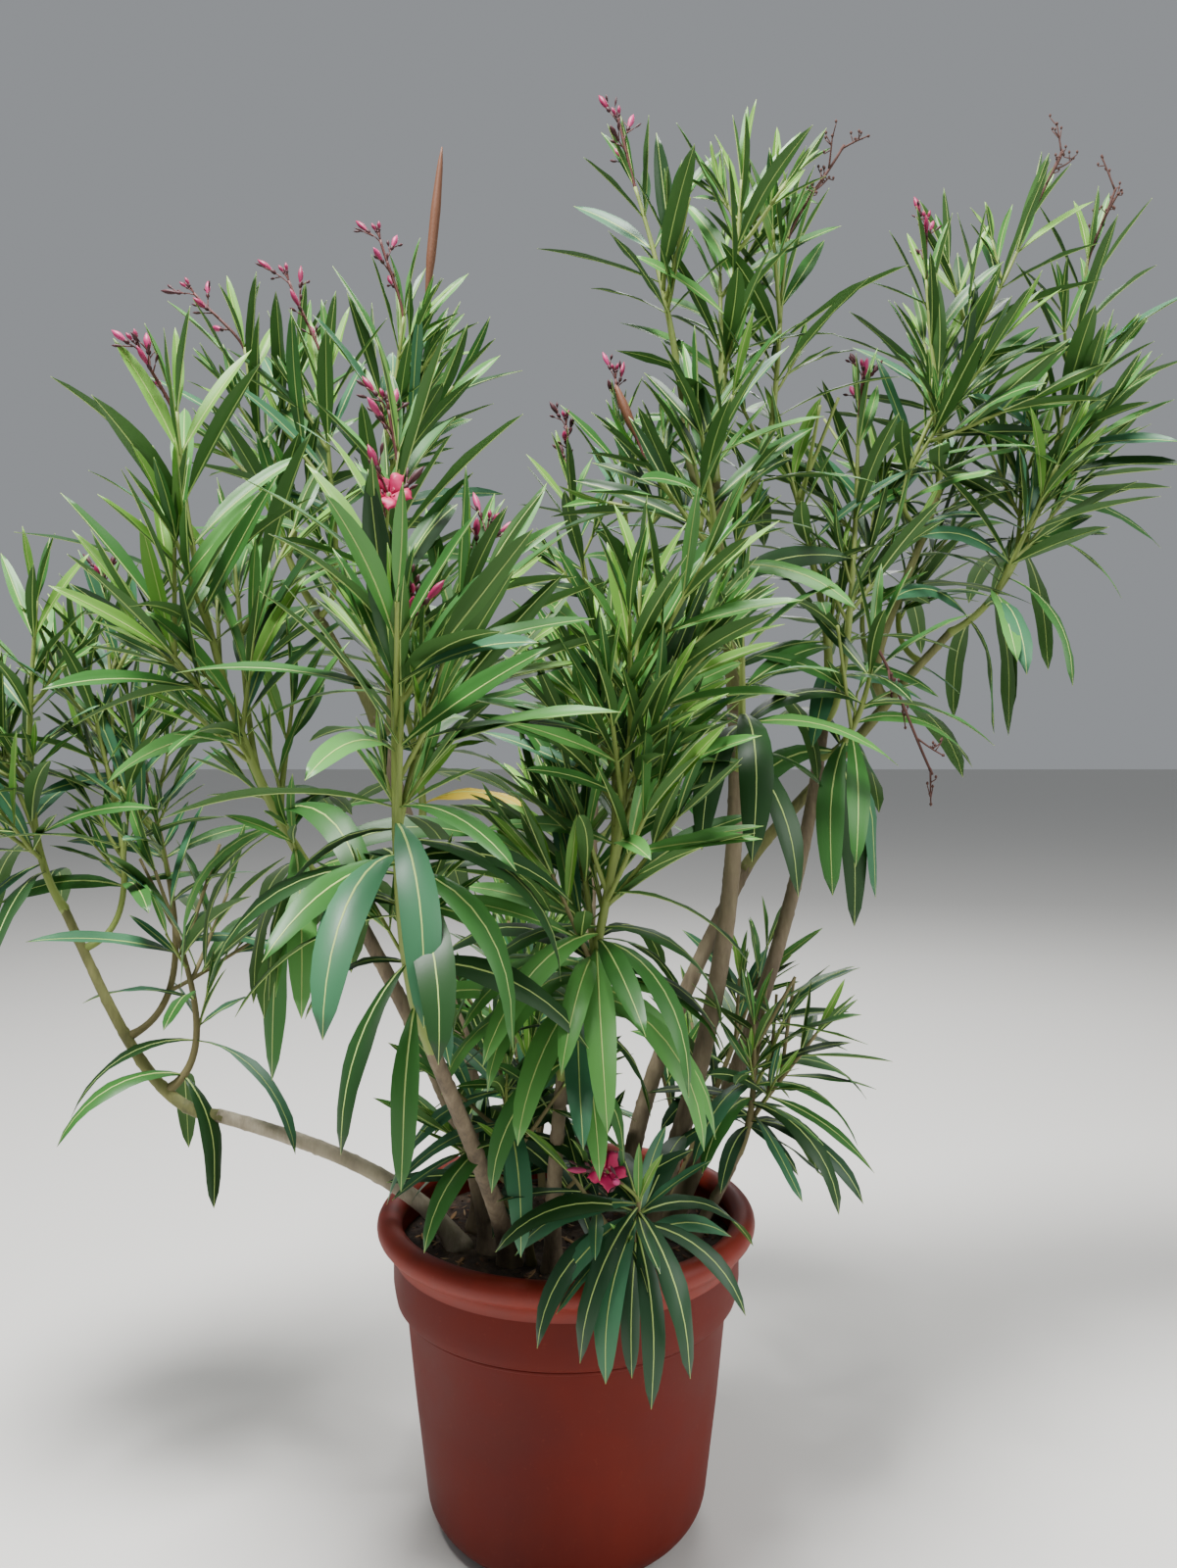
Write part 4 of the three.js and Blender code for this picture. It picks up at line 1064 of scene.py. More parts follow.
# Ages at which a leaf low in the crown takes painted shade, counts as grown, old and fit to fade
LOW_AGE = 0.2
GROWN_AGE = 0.16
OLD_AGE = 0.6
FADING_AGE = 0.85
# Heights below which leaves get painted shade, and a deeper painted shade below the second
PAINTED_SHADE_BELOW = 700
DEEP_PAINTED_SHADE_BELOW = 560
YELLOWING = ("right_middle_skirt", "right_tall_skirt", "left_back_low", "back_outer")
YELLOW_SHARE = 0.08


def tone_of(leaf, mass_tone, fading, chance):
    """A leaf's tone goes by age and leans to its spray's; low in the crown it is darkened with painted
    shade.
    """
    if fading and leaf.age > FADING_AGE and chance.random() < YELLOW_SHARE:
        return YELLOW
    # Painted shade: leaves low in the crown take the darker mixes
    if leaf.root.z < PAINTED_SHADE_BELOW and leaf.age > LOW_AGE:
        kind = "deepest_painted_shade" if leaf.root.z < DEEP_PAINTED_SHADE_BELOW else "low"
    else:
        kind = "young" if leaf.age < GROWN_AGE else "grown" if leaf.age < OLD_AGE else "old"
    if chance.random() < MASS_TONE_SHARE and kind in ("grown", "old"):
        return mass_tone
    tones, weights = zip(*TONE_MIXES[kind])
    return int(chance.choice(tones, p=weights))


# Twigs, canes and boughs

TWIG_NODE = 0.35
TWIG_NODE_WIDTH = 5.0
TWIG_COLLAR = 0.3
TWIG_COLLAR_LENGTH = 9
TWIG_FLATS = 0.05
YOUNG_BARK = 0.45

BARKS = (
    ("bark_grey", (66, 56, 44), (112, 98, 78), (150, 136, 112), (98, 96, 60)),
    ("bark_silver", (104, 94, 78), (152, 142, 122), (188, 178, 156), (130, 126, 92)),
    ("bark_green", (78, 78, 44), (112, 112, 66), (140, 138, 88), (104, 118, 58)),
)
PALE_CANE = "cane_left_low"

# Bark relief: lobes round a limb and how deep they are, then its leaf scars and corky spots
BARK_LOBES = ((2, 0.3), (5, 0.16), (9, 0.12))
BARK_DRIFT = 0.006
BARK_SWING = 0.6
BARK_GRAIN = 0.13
BARK_SWING_LENGTH = (40, 80)
SCAR_START = (20, 50)
SCAR_STEP = (38, 66)
SCAR_WIDTH = 3.2
SCAR_FURROW = (6, 3.0, 0.35)
SCAR_END = 8
SPOT_SPACING = 14
SPOT_WIDTH = 2.4
SPOT_HEIGHT = 0.5
SPOT_SHARPNESS = 40


def twig_skin(heap, shoot, tone, gap):
    """A shoot's bark: a tapering tube with a slight swelling at each ring of leaves."""
    points, along = line_points(shoot.line, TWIG_STEP)
    radii = tapered(along, shoot.girth)
    span = shoot.line.length()
    for below in shoot.ring_depths(gap):
        if below < span:
            radii = radii + TWIG_NODE * swell(along, span - below, TWIG_NODE_WIDTH)
    if shoot.seat is not None:
        collar = 1 + TWIG_COLLAR * np.exp(-along / TWIG_COLLAR_LENGTH)
        points = np.concatenate([[np.array(shoot.seat)], points])
        radii = np.concatenate([radii[:1], radii * collar])
    flats = 1 + TWIG_FLATS * np.cos(3 * round_turns(TWIG_SIDES))
    heap.sweep(tube_rings(points, radii[:, None] * flats), tone)


def bark_relief(along, turn, chance, rough):
    """How far bark stands off a limb: long ridges, rings of old leaf scars and small corky spots."""
    along, turn = np.meshgrid(along, turn, indexing="ij")
    span = along[-1, 0]
    relief = np.zeros_like(along)
    for lobes, depth in BARK_LOBES:
        start, drift = chance.uniform(0, CIRCLE), chance.uniform(-BARK_DRIFT, BARK_DRIFT)
        swing = BARK_SWING * np.sin(along / chance.uniform(*BARK_SWING_LENGTH) + start)
        relief += rough * depth * np.sin(lobes * turn + start + drift * along + swing)
    relief += rough * chance.normal(0, BARK_GRAIN, along.shape)
    place = chance.uniform(*SCAR_START)
    phase = chance.uniform(0, CIRCLE)
    below, width, depth = SCAR_FURROW
    while place < span - SCAR_END:
        scars = 0.55 + 0.45 * np.cos(3 * (turn - phase))
        relief += swell(along, place, SCAR_WIDTH) * (0.35 + 0.75 * scars)
        relief -= depth * swell(along - place, below, width)
        place += chance.uniform(*SCAR_STEP)
        phase += math.pi / 3
    for _ in range(int(span / SPOT_SPACING)):
        spot, heading = chance.uniform(0, span), chance.uniform(0, CIRCLE)
        facing = np.maximum(np.cos(turn - heading), 0)
        relief += SPOT_HEIGHT * swell(along, spot, SPOT_WIDTH) * facing**SPOT_SHARPNESS
    return relief


def limb_skin(heap, limb, place, tone, chance):
    """A cane's or bough's bark, from its seat to its tip, wider where it starts."""
    line, seat = place
    points, along = line_points(line, RING_STEP)
    radii = tapered(along, limb.girth)
    if limb.foot:
        radii = radii + ROOT_FLARE * np.exp(-along / ROOT_FLARE_HEIGHT)
    else:
        base = LIMBS[limb.on].girth[1] if limb.at is None else limb.girth[0] * BRANCH_COLLAR_RATIO
        radii = radii + (base - limb.girth[0]) * np.exp(-along / BRANCH_COLLAR_LENGTH)
    rough = 1.0 if limb.foot else YOUNG_BARK
    skin = radii[:, None] + bark_relief(along, round_turns(CANE_SIDES), chance, rough)
    seat = np.array(seat)[None]
    rings = tube_rings(np.concatenate([seat, points]), np.concatenate([skin[:1], skin]))
    if limb.foot:
        # The first ring is a level cut just inside the soil
        lead = unit(points[0] - seat[0])
        rings[0] += lead * ((seat[0, 2] - rings[0, :, 2]) / lead[2])[:, None]
    heap.sweep(rings, tone)


# Flower heads

HEAD_TONES = (
    ("stalk_red", (84, 36, 30), 0.6),
    ("stalk_green", (110, 124, 56), 0.6),
    ("bud_magenta", (140, 6, 70), 0.5),
    ("bud_pale", (176, 44, 104), 0.5),
    ("calyx", (62, 12, 22), 0.6),
    ("petal", (172, 0, 74), 0.55),
    ("throat", (214, 110, 140), 0.6),
    ("dry_brown", (74, 44, 36), 0.85),
    ("pod_brown", (104, 62, 36), 0.65),
)
STALK_STEP = 6
STALK_SIDES = 8
STALK, GREEN_STALK, BUD, PALE_BUD, CALYX, PETAL, THROAT, DRY, POD = range(len(HEAD_TONES))

# Buds: end radii of their stalks, where the neck and the cup are, how wide the cup is, and the
# widest part, leaning and length of what grows from a head's branches and crown
PEDICEL = (0.95, 0.8)
PEDICEL_SAG = -1.2
NECK = (0.38, 0.48)
CUP = (-0.05, 0.34)
CUP_WIDTH = 0.72
BUD_WIDTHS = (3.3, 4.2)
SIDE_BUD_PLACES = (0.3, 0.5)
SIDE_BUD_LEAN = (28, 50)
SIDE_BUD_LENGTHS = (17, 28)
SIDE_BUD_WIDTHS = (1.5, 2.3)
CROWN_BUDS = 3
CROWN_BUD_TURN = 2.1
CROWN_BUD_LEAN = math.radians(14)
CROWN_BUD_LENGTH = 24
CROWN_BUD_WIDTH = 2.4

# Dry heads: end radii of the stalk and of the bits on it, and how far these reach
DRY_STALK = (1.5, 0.9)
DRY_BIT = (0.9, 0.7)
DRY_BITS = 4
DRY_REACH = 11
DRY_LIFT = np.array((0, 0, 7))
DRY_CALYX = np.array((0, 0, 6))

# The open flower: how petals are set and shaped, and its fringe
PETAL_STATIONS = 11
PETAL_SWIRL = 0.18
PETAL_OPENING = math.radians(72)
PETAL_ARCH = 3.5
PETAL_ROLL = 0.2
PETAL_FOOT = 1.2
PETAL_WIDTH = 10.2
PETAL_END = 3.0
PETAL_SKEW = 3.2
PETAL_CUP = -1.6
PETAL_CUPS = (0.6, 1.3)
PETAL_THICKNESS = 0.25
FRINGE_TILTS = (-0.5, 0, 0.5)
FRINGE_LEAN = math.radians(24)
FRINGE_LENGTH = 4.5

# A pod's half width along it, and where its stalk ends
POD_SHARES = (0, 0.34, 0.4, 0.55, 0.75, 0.93, 1)
POD_RADII = (1.9, 1.9, 3.0, 6.4, 6.8, 3.8, 0.8)
POD_FOOT = 0.37
POD_RIBS = (7, 0.09)
POD_OVAL = 0.1
POD_SIDES = 14
POD_STEP = 8


def bud_on(heap, foot, tip, widest, tone, chance):
    """A pedicel that ends in a calyx and a twisted bud."""
    foot, tip = np.array(foot), np.array(tip)
    neck = foot + (tip - foot) * chance.uniform(*NECK)
    rod(heap, foot, neck, PEDICEL, STALK, sag=PEDICEL_SAG)
    spindle(heap, neck, tip, widest, tone, 8, 10, 0.6, ribs=5, rib_depth=0.07)
    start, end = (neck + (tip - neck) * share for share in CUP)
    spindle(heap, start, end, widest * CUP_WIDTH, CALYX, 4, 10, 0.45, ribs=5, rib_depth=0.16)


def dry_twig(heap, foot, tip, chance):
    """A bare flower stalk with the dried remains of its calyx."""
    foot, tip = np.array(foot), np.array(tip)
    rod(heap, foot, tip, DRY_STALK, DRY, sag=chance.uniform(-3, 3))
    for _ in range(DRY_BITS):
        root = foot + (tip - foot) * chance.uniform(0.3, 0.9)
        end = root + chance.uniform(-1, 1, 3) * DRY_REACH + DRY_LIFT
        rod(heap, root, end, DRY_BIT, DRY)
        spindle(heap, end, end + DRY_CALYX, 2, DRY, 4, 6)
    spindle(heap, tip - (tip - foot) * 0.12, tip, 2.3, DRY, 5, 6)


def side_buds(heap, foot, tip, chance):
    """Two small dark buds on a branch of a head, inside its reach."""
    for place in SIDE_BUD_PLACES:
        root = foot.lerp(tip, place)
        turn, lean = chance.uniform(0, CIRCLE), math.radians(chance.uniform(*SIDE_BUD_LEAN))
        bud = leaning((tip - foot).normalized(), turn, lean) * chance.uniform(*SIDE_BUD_LENGTHS)
        rod(heap, root, root + bud * 0.45, PEDICEL, STALK, steps=3, around=6)
        widest = chance.uniform(*SIDE_BUD_WIDTHS)
        spindle(heap, root + bud * 0.42, root + bud, widest, CALYX, 6, 8, 0.6)


def open_flower(heap, middle, chance):
    """Five spread petals set like a pinwheel round a pale fringed throat, turned to the viewer."""
    facing = FLOWER_FACING
    share = np.linspace(0, 1, PETAL_STATIONS)
    widths = PETAL_FOOT + PETAL_WIDTH * np.sin(math.pi * np.clip(share * 1.08, 0, 1) ** 1.5) ** 0.8
    widths[-1] = PETAL_END
    for i in range(PETALS):
        turn = i * CIRCLE / PETALS
        out = leaning(facing, turn, math.pi / 2)
        lead = leaning(facing, turn + PETAL_SWIRL, PETAL_OPENING)
        root = middle + out * 1.6 - facing * 3
        arch = [facing * (PETAL_ARCH * math.sin(math.pi * s)) for s in share]
        spine = [root + lead * (PETAL_LENGTH * s) + rise for s, rise in zip(share, arch)]
        side = unit(np.array(Matrix.Rotation(PETAL_ROLL, 3, out) @ facing.cross(out)))
        across = side * SECTION_ACROSS[:, None] * widths[:, None, None]
        skew = np.array(lead) * SECTION_ACROSS[:, None] * (PETAL_SKEW * share**2)[:, None, None]
        cup = PETAL_CUP * SECTION_ACROSS**2 * chance.uniform(*PETAL_CUPS)
        cup += PETAL_THICKNESS * SECTION_FACE
        rings = np.array(spine)[:, None] + across + skew + np.array(facing) * cup[:, None]
        heap.sweep(rings, PETAL)
        fringe = root + out * 3.2 + facing * 1.5
        for tilt in FRINGE_TILTS:
            tip = fringe + leaning(facing, turn + tilt, FRINGE_LEAN) * FRINGE_LENGTH
            rod(heap, fringe, tip, (0.9, 0.3), THROAT, steps=3, around=6)
    spindle(heap, middle - facing * 20, middle + facing * 0.5, 3.4, THROAT, 8, 10, 0.8)
    spindle(heap, middle - facing * 22, middle - facing * 13, 3.1, CALYX, 5, 10, 0.5)


def pod_skin(heap, line):
    """A long ribbed seed pod on a bare stalk."""
    points, along = line_points(line, POD_STEP)
    share = along / along[-1]
    radii = np.interp(share, POD_SHARES, POD_RADII)
    turn = round_turns(POD_SIDES)
    count, depth = POD_RIBS
    ribs = 1 + depth * np.cos(count * turn) * (share > POD_FOOT)[:, None] - POD_OVAL * np.cos(2 * turn)
    rings = tube_rings(points, radii[:, None] * ribs)
    faces = sweep_faces(*rings.shape[:2])
    tones = np.full(len(faces), POD)
    tones[: POD_SIDES * np.count_nonzero(share <= POD_FOOT)] = STALK
    heap.add(rings, faces, tones)


def add_head(heap, head, chance):
    if head.kind == "pod":
        pod_skin(heap, head.stalk)
        return
    points, along = line_points(head.stalk, STALK_STEP)
    stalk_tone = {"dry": DRY, "flower": GREEN_STALK, "buds": STALK}[head.kind]
    heap.tube(points, tapered(along, STALK_GIRTH), STALK_SIDES, stalk_tone)
    crown = head.stalk.at(1)
    for foot, tip in head.branches:
        if head.kind == "dry":
            dry_twig(heap, foot, tip, chance)
        else:
            tone = chance.choice((BUD, PALE_BUD, CALYX), p=(0.5, 0.25, 0.25))
            bud_on(heap, foot, tip, chance.uniform(*BUD_WIDTHS), tone, chance)
            side_buds(heap, foot, tip, chance)
    if head.kind == "dry":
        spindle(heap, head.stalk.at(0.93), crown, 2.4, DRY, 4, 8)
    elif head.kind == "flower":
        open_flower(heap, crown, chance)
    else:
        for i in range(CROWN_BUDS):
            lead = leaning(head.stalk.tangent(1), i * CROWN_BUD_TURN, CROWN_BUD_LEAN)
            tip = crown + lead * CROWN_BUD_LENGTH
            bud_on(heap, crown, tip, CROWN_BUD_WIDTH, BUD if i else CALYX, chance)


# The tub and its soil

# Where a skin meets the axis, its last ring shrinks to this share of the one before
PINHOLE = 0.002


def arc(x, z, radius, start, end, pieces):
    turns = np.linspace(start, end, pieces + 1)
    return [(x + radius * math.cos(t), z + radius * math.sin(t)) for t in turns]


def foot_line(inset, pieces):
    end = -math.atan(BODY_SLOPE)
    corner = arc(BASE_FLAT_RADIUS, BASE_CORNER, BASE_CORNER - inset, -math.pi / 2, end, pieces)
    return [(0, inset), (BASE_FLAT_RADIUS * 0.5, inset), *corner]


def inner_line(inset):
    return [
        *foot_line(inset, 8),
        (BODY_TOP_RADIUS - inset, COLLAR_FOOT - BEAD_HEIGHT),
        (COLLAR_FOOT_RADIUS - inset, COLLAR_FOOT + POT_WALL),
        (COLLAR_RADIUS - inset, COLLAR_SHOULDER + POT_WALL),
    ]


def tub_outline():
    """The tub's wall in outline: its body, the rolled rim and the inside."""
    roll_x = RIM_RADIUS - RIM_ROLL
    roll_z = POT_HEIGHT - RIM_ROLL
    outer = -math.acos((COLLAR_RADIUS - roll_x) / RIM_ROLL)
    inner = -math.acos((COLLAR_RADIUS - POT_WALL - roll_x) / RIM_ROLL) + CIRCLE
    bead = COLLAR_FOOT - BEAD_HEIGHT
    body = [
        *foot_line(0, 14),
        (mix(BASE_FLAT_RADIUS + BASE_CORNER, BODY_TOP_RADIUS, 0.55), mix(BASE_CORNER, bead, 0.5)),
        (BODY_TOP_RADIUS, bead - POT_FILLET),
        (BODY_TOP_RADIUS + POT_FILLET, bead),
        (BEAD_RADIUS - POT_FILLET, bead),
        (BEAD_RADIUS, bead + POT_FILLET),
        (BEAD_RADIUS, COLLAR_FOOT - POT_FILLET),
        (BEAD_RADIUS - POT_FILLET * 1.6, COLLAR_FOOT - POT_FILLET * 0.2),
        (BEAD_RADIUS - POT_FILLET * 1.6, COLLAR_FOOT + POT_FILLET * 0.6),
        (COLLAR_FOOT_RADIUS - POT_FILLET, COLLAR_FOOT + POT_FILLET),
        (COLLAR_FOOT_RADIUS, COLLAR_FOOT + 2.5 * POT_FILLET),
        (mix(COLLAR_FOOT_RADIUS, COLLAR_RADIUS, 0.5), mix(COLLAR_FOOT, COLLAR_SHOULDER, 0.5)),
        (COLLAR_RADIUS, COLLAR_SHOULDER),
        (COLLAR_RADIUS, mix(COLLAR_SHOULDER, roll_z, 0.5)),
    ]
    return body, arc(roll_x, roll_z, RIM_ROLL, outer, inner, 22), inner_line(POT_WALL)[::-1]


def level_ring(reach, turn, height):
    height = np.broadcast_to(height, turn.shape)
    return np.stack([reach * np.cos(turn), reach * np.sin(turn), height], axis=-1)


def add_tub(heap):
    body, rim, inside = tub_outline()
    outline = np.array([*body, *rim, *inside])
    radii, heights = outline[:, :1], outline[:, 1:]
    turn = round_turns(POT_SIDES)[None].repeat(len(outline), axis=0)
    wobble = np.sin(2 * turn + 0.7) + 0.5 * np.sin(3 * turn + heights / 90)
    rings = level_ring(radii + POT_WOBBLE * (radii / RIM_RADIUS) * wobble, turn, heights)
    rings[0, :, :2] = rings[1, :, :2] * PINHOLE
    rings[-1, :, :2] = rings[-2, :, :2] * PINHOLE
    faces = sweep_faces(*rings.shape[:2])
    tones = np.zeros(len(faces))
    # The rim takes the lighter rim material; the body below it carries painted shade
    tones[(len(body) - 1) * POT_SIDES : (len(body) + len(rim)) * POT_SIDES] = 1
    heap.add(rings, faces, tones)


def soil_waves(chance):
    waves = []
    for length, depth in SOIL_WAVES:
        heading = chance.uniform(0, CIRCLE)
        pace = CIRCLE / length
        waves.append((pace * math.cos(heading), pace * math.sin(heading), chance.uniform(0, 6), depth))
    return waves


def soil_top(x, y, waves):
    """The height of the loose soil: the source's low mound, with lumps."""
    reach = np.hypot(x, y)
    stops = (SOIL_CROWN, SOIL_KNEE_HEIGHT, SOIL_EDGE)
    base = np.interp(reach / SOIL_RADIUS, (0, SOIL_KNEE, 1), stops)
    lumps = sum(depth * np.sin(across * x + away * y + start) for across, away, start, depth in waves)
    return base + lumps * np.clip((SOIL_RADIUS - reach) / CALM_EDGE, 0, 1)


def add_soil(heap, waves, chance):
    turn = round_turns(SOIL_SIDES)
    below = [*inner_line(POT_WALL + GAP)[:-1], (SOIL_RADIUS, SOIL_EDGE - 4)]
    rings = [level_ring(reach, turn, height) for reach, height in below]
    for share in np.linspace(1, SOIL_CENTRE, SOIL_RINGS):
        x, y, _ = level_ring(SOIL_RADIUS * share, turn, 0).T
        grain = chance.normal(0, SOIL_GRAIN, SOIL_SIDES) * min(1, share * 6) * (share < 0.99)
        rings.append(np.stack([x, y, soil_top(x, y, waves) + grain], axis=-1))
    rings = np.array(rings)
    rings[0, :, :2] = rings[1, :, :2] * PINHOLE
    heap.sweep(rings, 0)


# Litter: its colours, its sizes as length, width and thickness, and how common each kind is
LITTER_TONES = (
    ("litter_bark", (92, 64, 44), 0.9),
    ("litter_pale", (150, 124, 92), 0.9),
    ("litter_dark", (44, 34, 28), 0.95),
    ("litter_leaf", (132, 100, 62), 0.8),
)
LITTER_SIZES = ((11, 5, 2), (16, 2, 1.2), (4, 3, 2.4), (26, 7, 0.7))
LITTER_SHARES = (0.3, 0.16, 0.42, 0.12)
LITTER_TAPER = (0.25, 0.8, 1, 0.85, 0.2)
LITTER_SIDES = 6
LITTER_COUNT = 620
LITTER_SCALES = (0.5, 1.3)
LITTER_LIFT = 0.4
LITTER_CURL = 0.6
LITTER_INSET = 12
LITTER_OVER = 8
STEM_ROOM = 22


def add_litter(heap, waves, chance, stems):
    """Chips, crumbs, bits of twig and dry leaves that lie on the soil, clear of the stems."""
    edge = SOIL_RADIUS - LITTER_INSET
    angle = -np.arange(LITTER_SIDES) * math.pi / 3
    for _ in range(LITTER_COUNT):
        reach, turn = edge * math.sqrt(chance.uniform(0, 1)), chance.uniform(0, CIRCLE)
        x, y = reach * math.cos(turn), reach * math.sin(turn)
        kind = int(chance.choice(4, p=LITTER_SHARES))
        length, width, thick = np.array(LITTER_SIZES[kind]) * chance.uniform(*LITTER_SCALES)
        heading = chance.uniform(0, math.pi)
        crowded = any(math.hypot(x - foot_x, y - foot_y) < STEM_ROOM for foot_x, foot_y in stems)
        if crowded or reach + length > edge + LITTER_OVER:
            continue
        lead = np.array((math.cos(heading), math.sin(heading), chance.uniform(-0.15, 0.15)))
        beside = np.array((-math.sin(heading), math.cos(heading), chance.uniform(-0.2, 0.2)))
        middle = np.array((x, y, soil_top(x, y, waves) + thick * LITTER_LIFT))
        rings = []
        for share, wide in zip(np.linspace(-1, 1, len(LITTER_TAPER)), LITTER_TAPER):
            bulge = 1 + chance.uniform(-0.15, 0.15, LITTER_SIDES)
            across = beside * (np.cos(angle) * bulge * width * wide / 2)[:, None]
            lift = np.array(UP) * (np.sin(angle) * bulge * thick * wide / 2)[:, None]
            curve = np.array(UP) * (thick * LITTER_CURL * share * share)
            rings.append(middle + lead * (share * length / 2) + curve + across + lift)
        heap.sweep(np.array(rings)[:, ::-1], kind)


# The whole plant, grown once

LONGEST_OUT = 12
WOOD_STEP = 7
WOOD_ROOM = 1.5
FLOWER_ROOM = 36
ROOT_STATIONS = 4
WALL_INNER = BODY_TOP_RADIUS - 14
WALL_OUTER = RIM_RADIUS + 9
WALL_TOP = POT_HEIGHT + 9
SOIL_TOP = SOIL_CROWN + 4

# The spacing of side shoots in masses whose names begin so, as a share of the usual one
CROWDING = {
    "low": 0.2,
    "front_low": 0.45,
    "right_low": 0.3,
    "centre": 0.2,
    "left_low": 0.4,
    "back_outer": 0.36,
    "left_back_low": 0.4,
    "right_tall_front": 0.3,
    "right_middle": 0.45,
    "right_outer": 0.8,
    "left_front": 1.4,
    "left_diagonal": 1.2,
}

# How many more skirt leaves than the solids have hang in these masses, as a share of theirs
SKIRT_FILL = {
    "low_left": 3,
    "low_middle": 3,
    "front_low": 0.8,
    "centre": 2.2,
    "left_front": 0.3,
    "right_low": 1.2,
    "right_tall_skirt": 1.4,
    "right_middle_skirt": 1.3,
}

# A second seed pod, on a fork of one mass, that the scene alone shows: the mass, the shoot, its tip
SECOND_POD = ("right_tall_front", 1, (66, -35, 1549))

# The pieces of the crown, and how the names of their masses begin
REGIONS = {
    "left_low": "left_low",
    "left_front": ("left_diagonal", "left_front"),
    "left_back": "left_back",
    "centre": "centre",
    "right_tall": "right_tall",
    "right_middle": "right_middle",
    "right_upper": "right_upper",
    "right_outer": "right_outer",
    "back": "back",
    "low": ("right_low", "front_low", "low"),
}
TWIG_TONES = (
    ("twig_green", (124, 140, 66), 0.6),
    ("twig_brown", (112, 104, 66), 0.75),
)


@dataclass
class Growth:
    """What one foliage mass grows into."""

    mass: Mass
    shoots: list
    heads: list
    leaves: list


def grow_mass(index, mass, limbs):
    dice, fine = Dice(FIRST_SEED + index), Dice(FINE_SEED + index)
    shoots = shoots_of(mass, dice, limbs)
    heads = [head_of(shoot, dice) for shoot in shoots if shoot.bloom]
    pod_mass, pod_shoot, pod_tip = SECOND_POD
    if mass.name == pod_mass:
        heads.append(pod_on(shoots[pod_shoot], pod_tip))
    leaves = [leaf for shoot in shoots for leaf in leaves_of(shoot, mass, dice)]
    if mass.skirt:
        leaves += skirt_of(shoots[0], mass.skirt, dice)
    main = [shoot for shoot in shoots if not shoot.sprig]
    crowding = next((value for start, value in CROWDING.items() if mass.name.startswith(start)), 1)
    twigs = SIDE_SHOOT.along(main, crowding, fine) + FINE_SPRIG.along(main, 1, fine)
    added = [leaf for twig in twigs for leaf in leaves_of(twig, mass, fine)]
    if mass.name in SKIRT_FILL:
        start, end, count, longest = mass.skirt
        added += skirt_of(shoots[0], (start, end, round(count * SKIRT_FILL[mass.name]), longest), fine)
    low, high = (np.array(corner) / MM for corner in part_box(mass.node))
    leaves += [leaf for leaf in added if inside(leaf, low - LONGEST_OUT, high + LONGEST_OUT)]
    return Growth(mass, shoots + twigs, heads, leaves)


def inside(leaf, low, high):
    tip = np.array(leaf.root + leaf.direction * leaf.length)
    return bool(np.all(tip > low) and np.all(tip < high))


def wood_points(limbs, growths):
    """Points along all limbs and stems with the radius there, and the open flowers with their room."""
    points, radii = [], []
    wood = [(line, LIMBS[name].girth) for name, (line, _) in limbs.items()]
    shoots = [shoot for growth in growths for shoot in growth.shoots if not shoot.sprig]
    for line, girth in wood + [(shoot.line, shoot.girth) for shoot in shoots]:
        place, along = line_points(line, WOOD_STEP)
        points.append(place)
        radii.append(tapered(along, girth))
    flowers = [head.stalk.at(1) for growth in growths for head in growth.heads if head.kind == "flower"]
    points.append(np.array(flowers))
    radii.append(np.full(len(flowers), FLOWER_ROOM))
    return np.concatenate(points), np.concatenate(radii)


def clear_leaves(leaves, wood, radii):
    """The leaves that pass through no limb and keep off the tub's wall and the soil."""
    kept = []
    for leaf, line in zip(leaves, bent_lines(leaves)):
        outer = line[ROOT_STATIONS:]
        gaps = np.linalg.norm(outer[:, None] - wood, axis=-1) - radii
        reach, height = np.hypot(outer[:, 0], outer[:, 1]), outer[:, 2]
        in_wall = (reach > WALL_INNER) & (reach < WALL_OUTER) & (height < WALL_TOP)
        in_soil = (reach < COLLAR_RADIUS) & (height < SOIL_TOP)
        if gaps.min() > WOOD_ROOM and not (in_wall | in_soil).any():
            kept.append(leaf)
    return kept


def nodes_of(growths):
    return [growth.mass.node for growth in growths]


def make_leaves(limbs, growths):
    wood, radii = wood_points(limbs, growths)
    materials = [leaf_material(*row) for row in (*LEAF_TONES, LEAF_UNDER_PAINTED_SHADE)] + [plain_material(*MIDRIB)]
    chance = np.random.default_rng(LEAF_SEED)
    for region, starts in REGIONS.items():
        heap = Heap()
        here = [growth for growth in growths if growth.mass.name.startswith(starts)]
        for growth in here:
            leaves = clear_leaves(growth.leaves, wood, radii)
            mass_tone = int(chance.choice(MASS_TONES))
            fading = growth.mass.name in YELLOWING
            tones = [tone_of(leaf, mass_tone, fading, chance) for leaf in leaves]
            add_leaves(heap, leaves, tones, chance)
        heap.piece(f"leaves_{region}", materials, "foliage", nodes_of(here))


def make_twigs(growths):
    heap = Heap()
    for growth in growths:
        for shoot in growth.shoots:
            brown = shoot.line.at(0.5).z < BROWN_BELOW and not shoot.sprig
            twig_skin(heap, shoot, int(brown), growth.mass.rings[1])
    heap.piece("twigs", plain_materials(TWIG_TONES), "foliage", nodes_of(growths))


def make_heads(growths):
    heap = Heap()
    chance = np.random.default_rng(HEAD_SEED)
    here = [growth for growth in growths if growth.heads]
    for growth in here:
        for head in growth.heads:
            add_head(heap, head, chance)
    heap.piece("flower_heads", plain_materials(HEAD_TONES), "foliage", nodes_of(here))


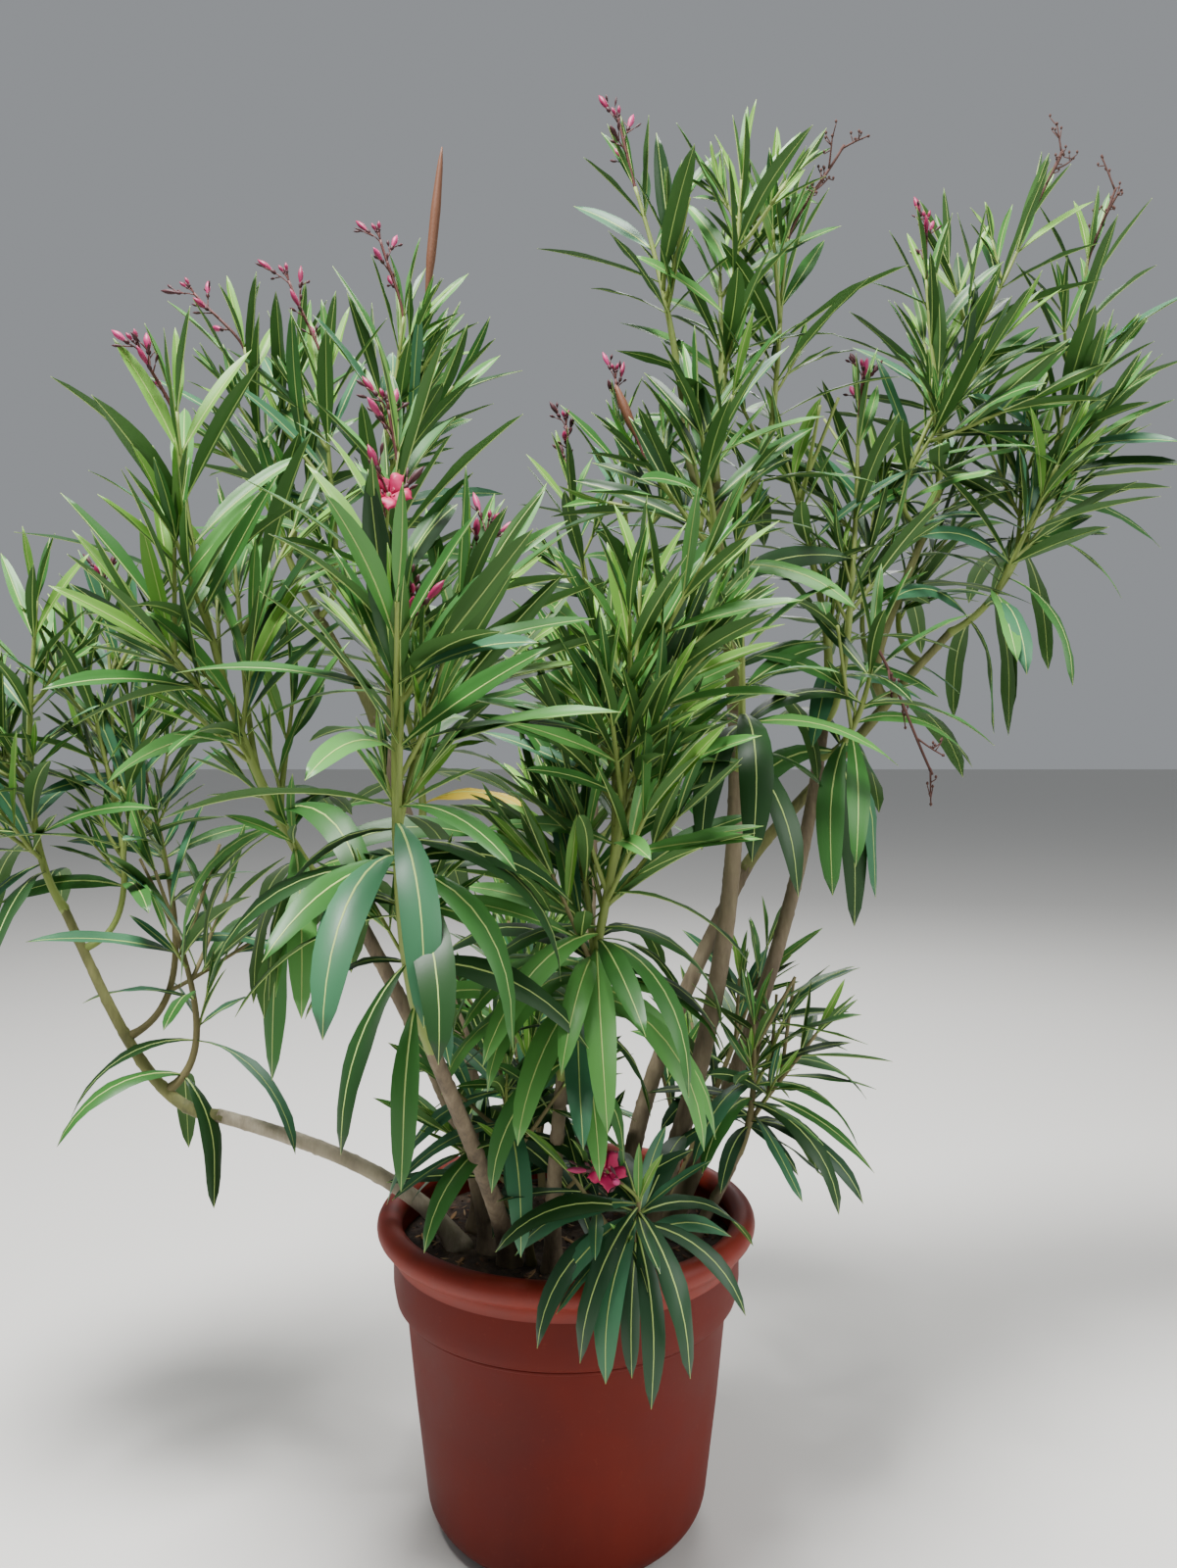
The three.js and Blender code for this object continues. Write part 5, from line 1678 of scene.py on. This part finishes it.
def make_limbs(limbs):
    chance = np.random.default_rng(BARK_SEED)
    canes, boughs = Heap(), Heap()
    for name, limb in LIMBS.items():
        limb_skin(canes if limb.foot else boughs, limb, limbs[name], int(name == PALE_CANE), chance)
    old, silver, green = (bark_material(*row) for row in BARKS)
    footed = [name for name, limb in LIMBS.items() if limb.foot]
    canes.piece("canes", [old, silver], "bark", footed)
    grown = [name for name, limb in LIMBS.items() if limb.on]
    boughs.piece("boughs", [green, silver], "green_bark", grown)


def make_tub():
    tub = Heap()
    add_tub(tub)
    tub.piece("tub", [pot_material(), rim_material()], "pot", ["pot"])
    chance = np.random.default_rng(SOIL_SEED)
    waves = soil_waves(chance)
    soil = Heap()
    add_soil(soil, waves, chance)
    soil.piece("soil_bed", [soil_material()], "soil", ["soil"])
    litter = Heap()
    add_litter(litter, waves, chance, [row.foot for row in (*LIMBS.values(), *MASSES) if row.foot])
    litter.piece("soil_litter", plain_materials(LITTER_TONES), "soil", ["soil"])


# Floor, light and camera

FLOOR_HALF = 40
FLOOR_PAINT = ("floor_paint", (210, 208, 203), 0.85)
WORLD_COLOUR = (0.86, 0.9, 0.95, 1)
WORLD_STRENGTH = 0.34
LIT_PLACE = Vector((0, 0, 1))

# Each light's name, place, size and power
LIGHTS = (
    ("key", (-0.9, -1.3, 5.0), 1.5, 640),
    ("fill", (3.2, -1.6, 2.6), 2.4, 95),
    ("back", (0.8, 3.4, 3.8), 2.6, 100),
)


def make_floor():
    mesh = bpy.data.meshes.new("floor")
    corners = [(-1, -1), (1, -1), (1, 1), (-1, 1)]
    mesh.from_pydata([(x * FLOOR_HALF, y * FLOOR_HALF, 0) for x, y in corners], [], [(0, 1, 2, 3)])
    mesh.materials.append(Material(*FLOOR_PAINT).material)
    linked("floor", mesh)


def make_light():
    world = bpy.data.worlds.new("studio")
    world.use_nodes = True
    fill(world.node_tree.nodes["Background"], {"Color": WORLD_COLOUR, "Strength": WORLD_STRENGTH})
    bpy.context.scene.world = world
    for name, place, size, energy in LIGHTS:
        lamp = bpy.data.lights.new(name, "AREA")
        lamp.shape = "DISK"
        lamp.size = size
        lamp.energy = energy
        holder = linked(name, lamp)
        holder.location = place
        holder.rotation_euler = (LIT_PLACE - Vector(place)).to_track_quat("-Z", "Y").to_euler()


def make_camera():
    lens = bpy.data.cameras.new("camera")
    lens.lens = CAMERA_LENS
    lens.sensor_width = CAMERA_SENSOR
    lens.clip_start = 0.05
    holder = linked("camera", lens)
    holder.location = CAMERA_PLACE
    holder.rotation_euler = (math.radians(90 - CAMERA_DOWNWARD), 0, 0)
    bpy.context.scene.camera = holder


make_camera()
make_light()
make_floor()
all_limbs = grow_limbs()
all_growths = [grow_mass(index, mass, all_limbs) for index, mass in enumerate(MASSES)]
make_tub()
make_limbs(all_limbs)
make_twigs(all_growths)
make_heads(all_growths)
make_leaves(all_limbs, all_growths)
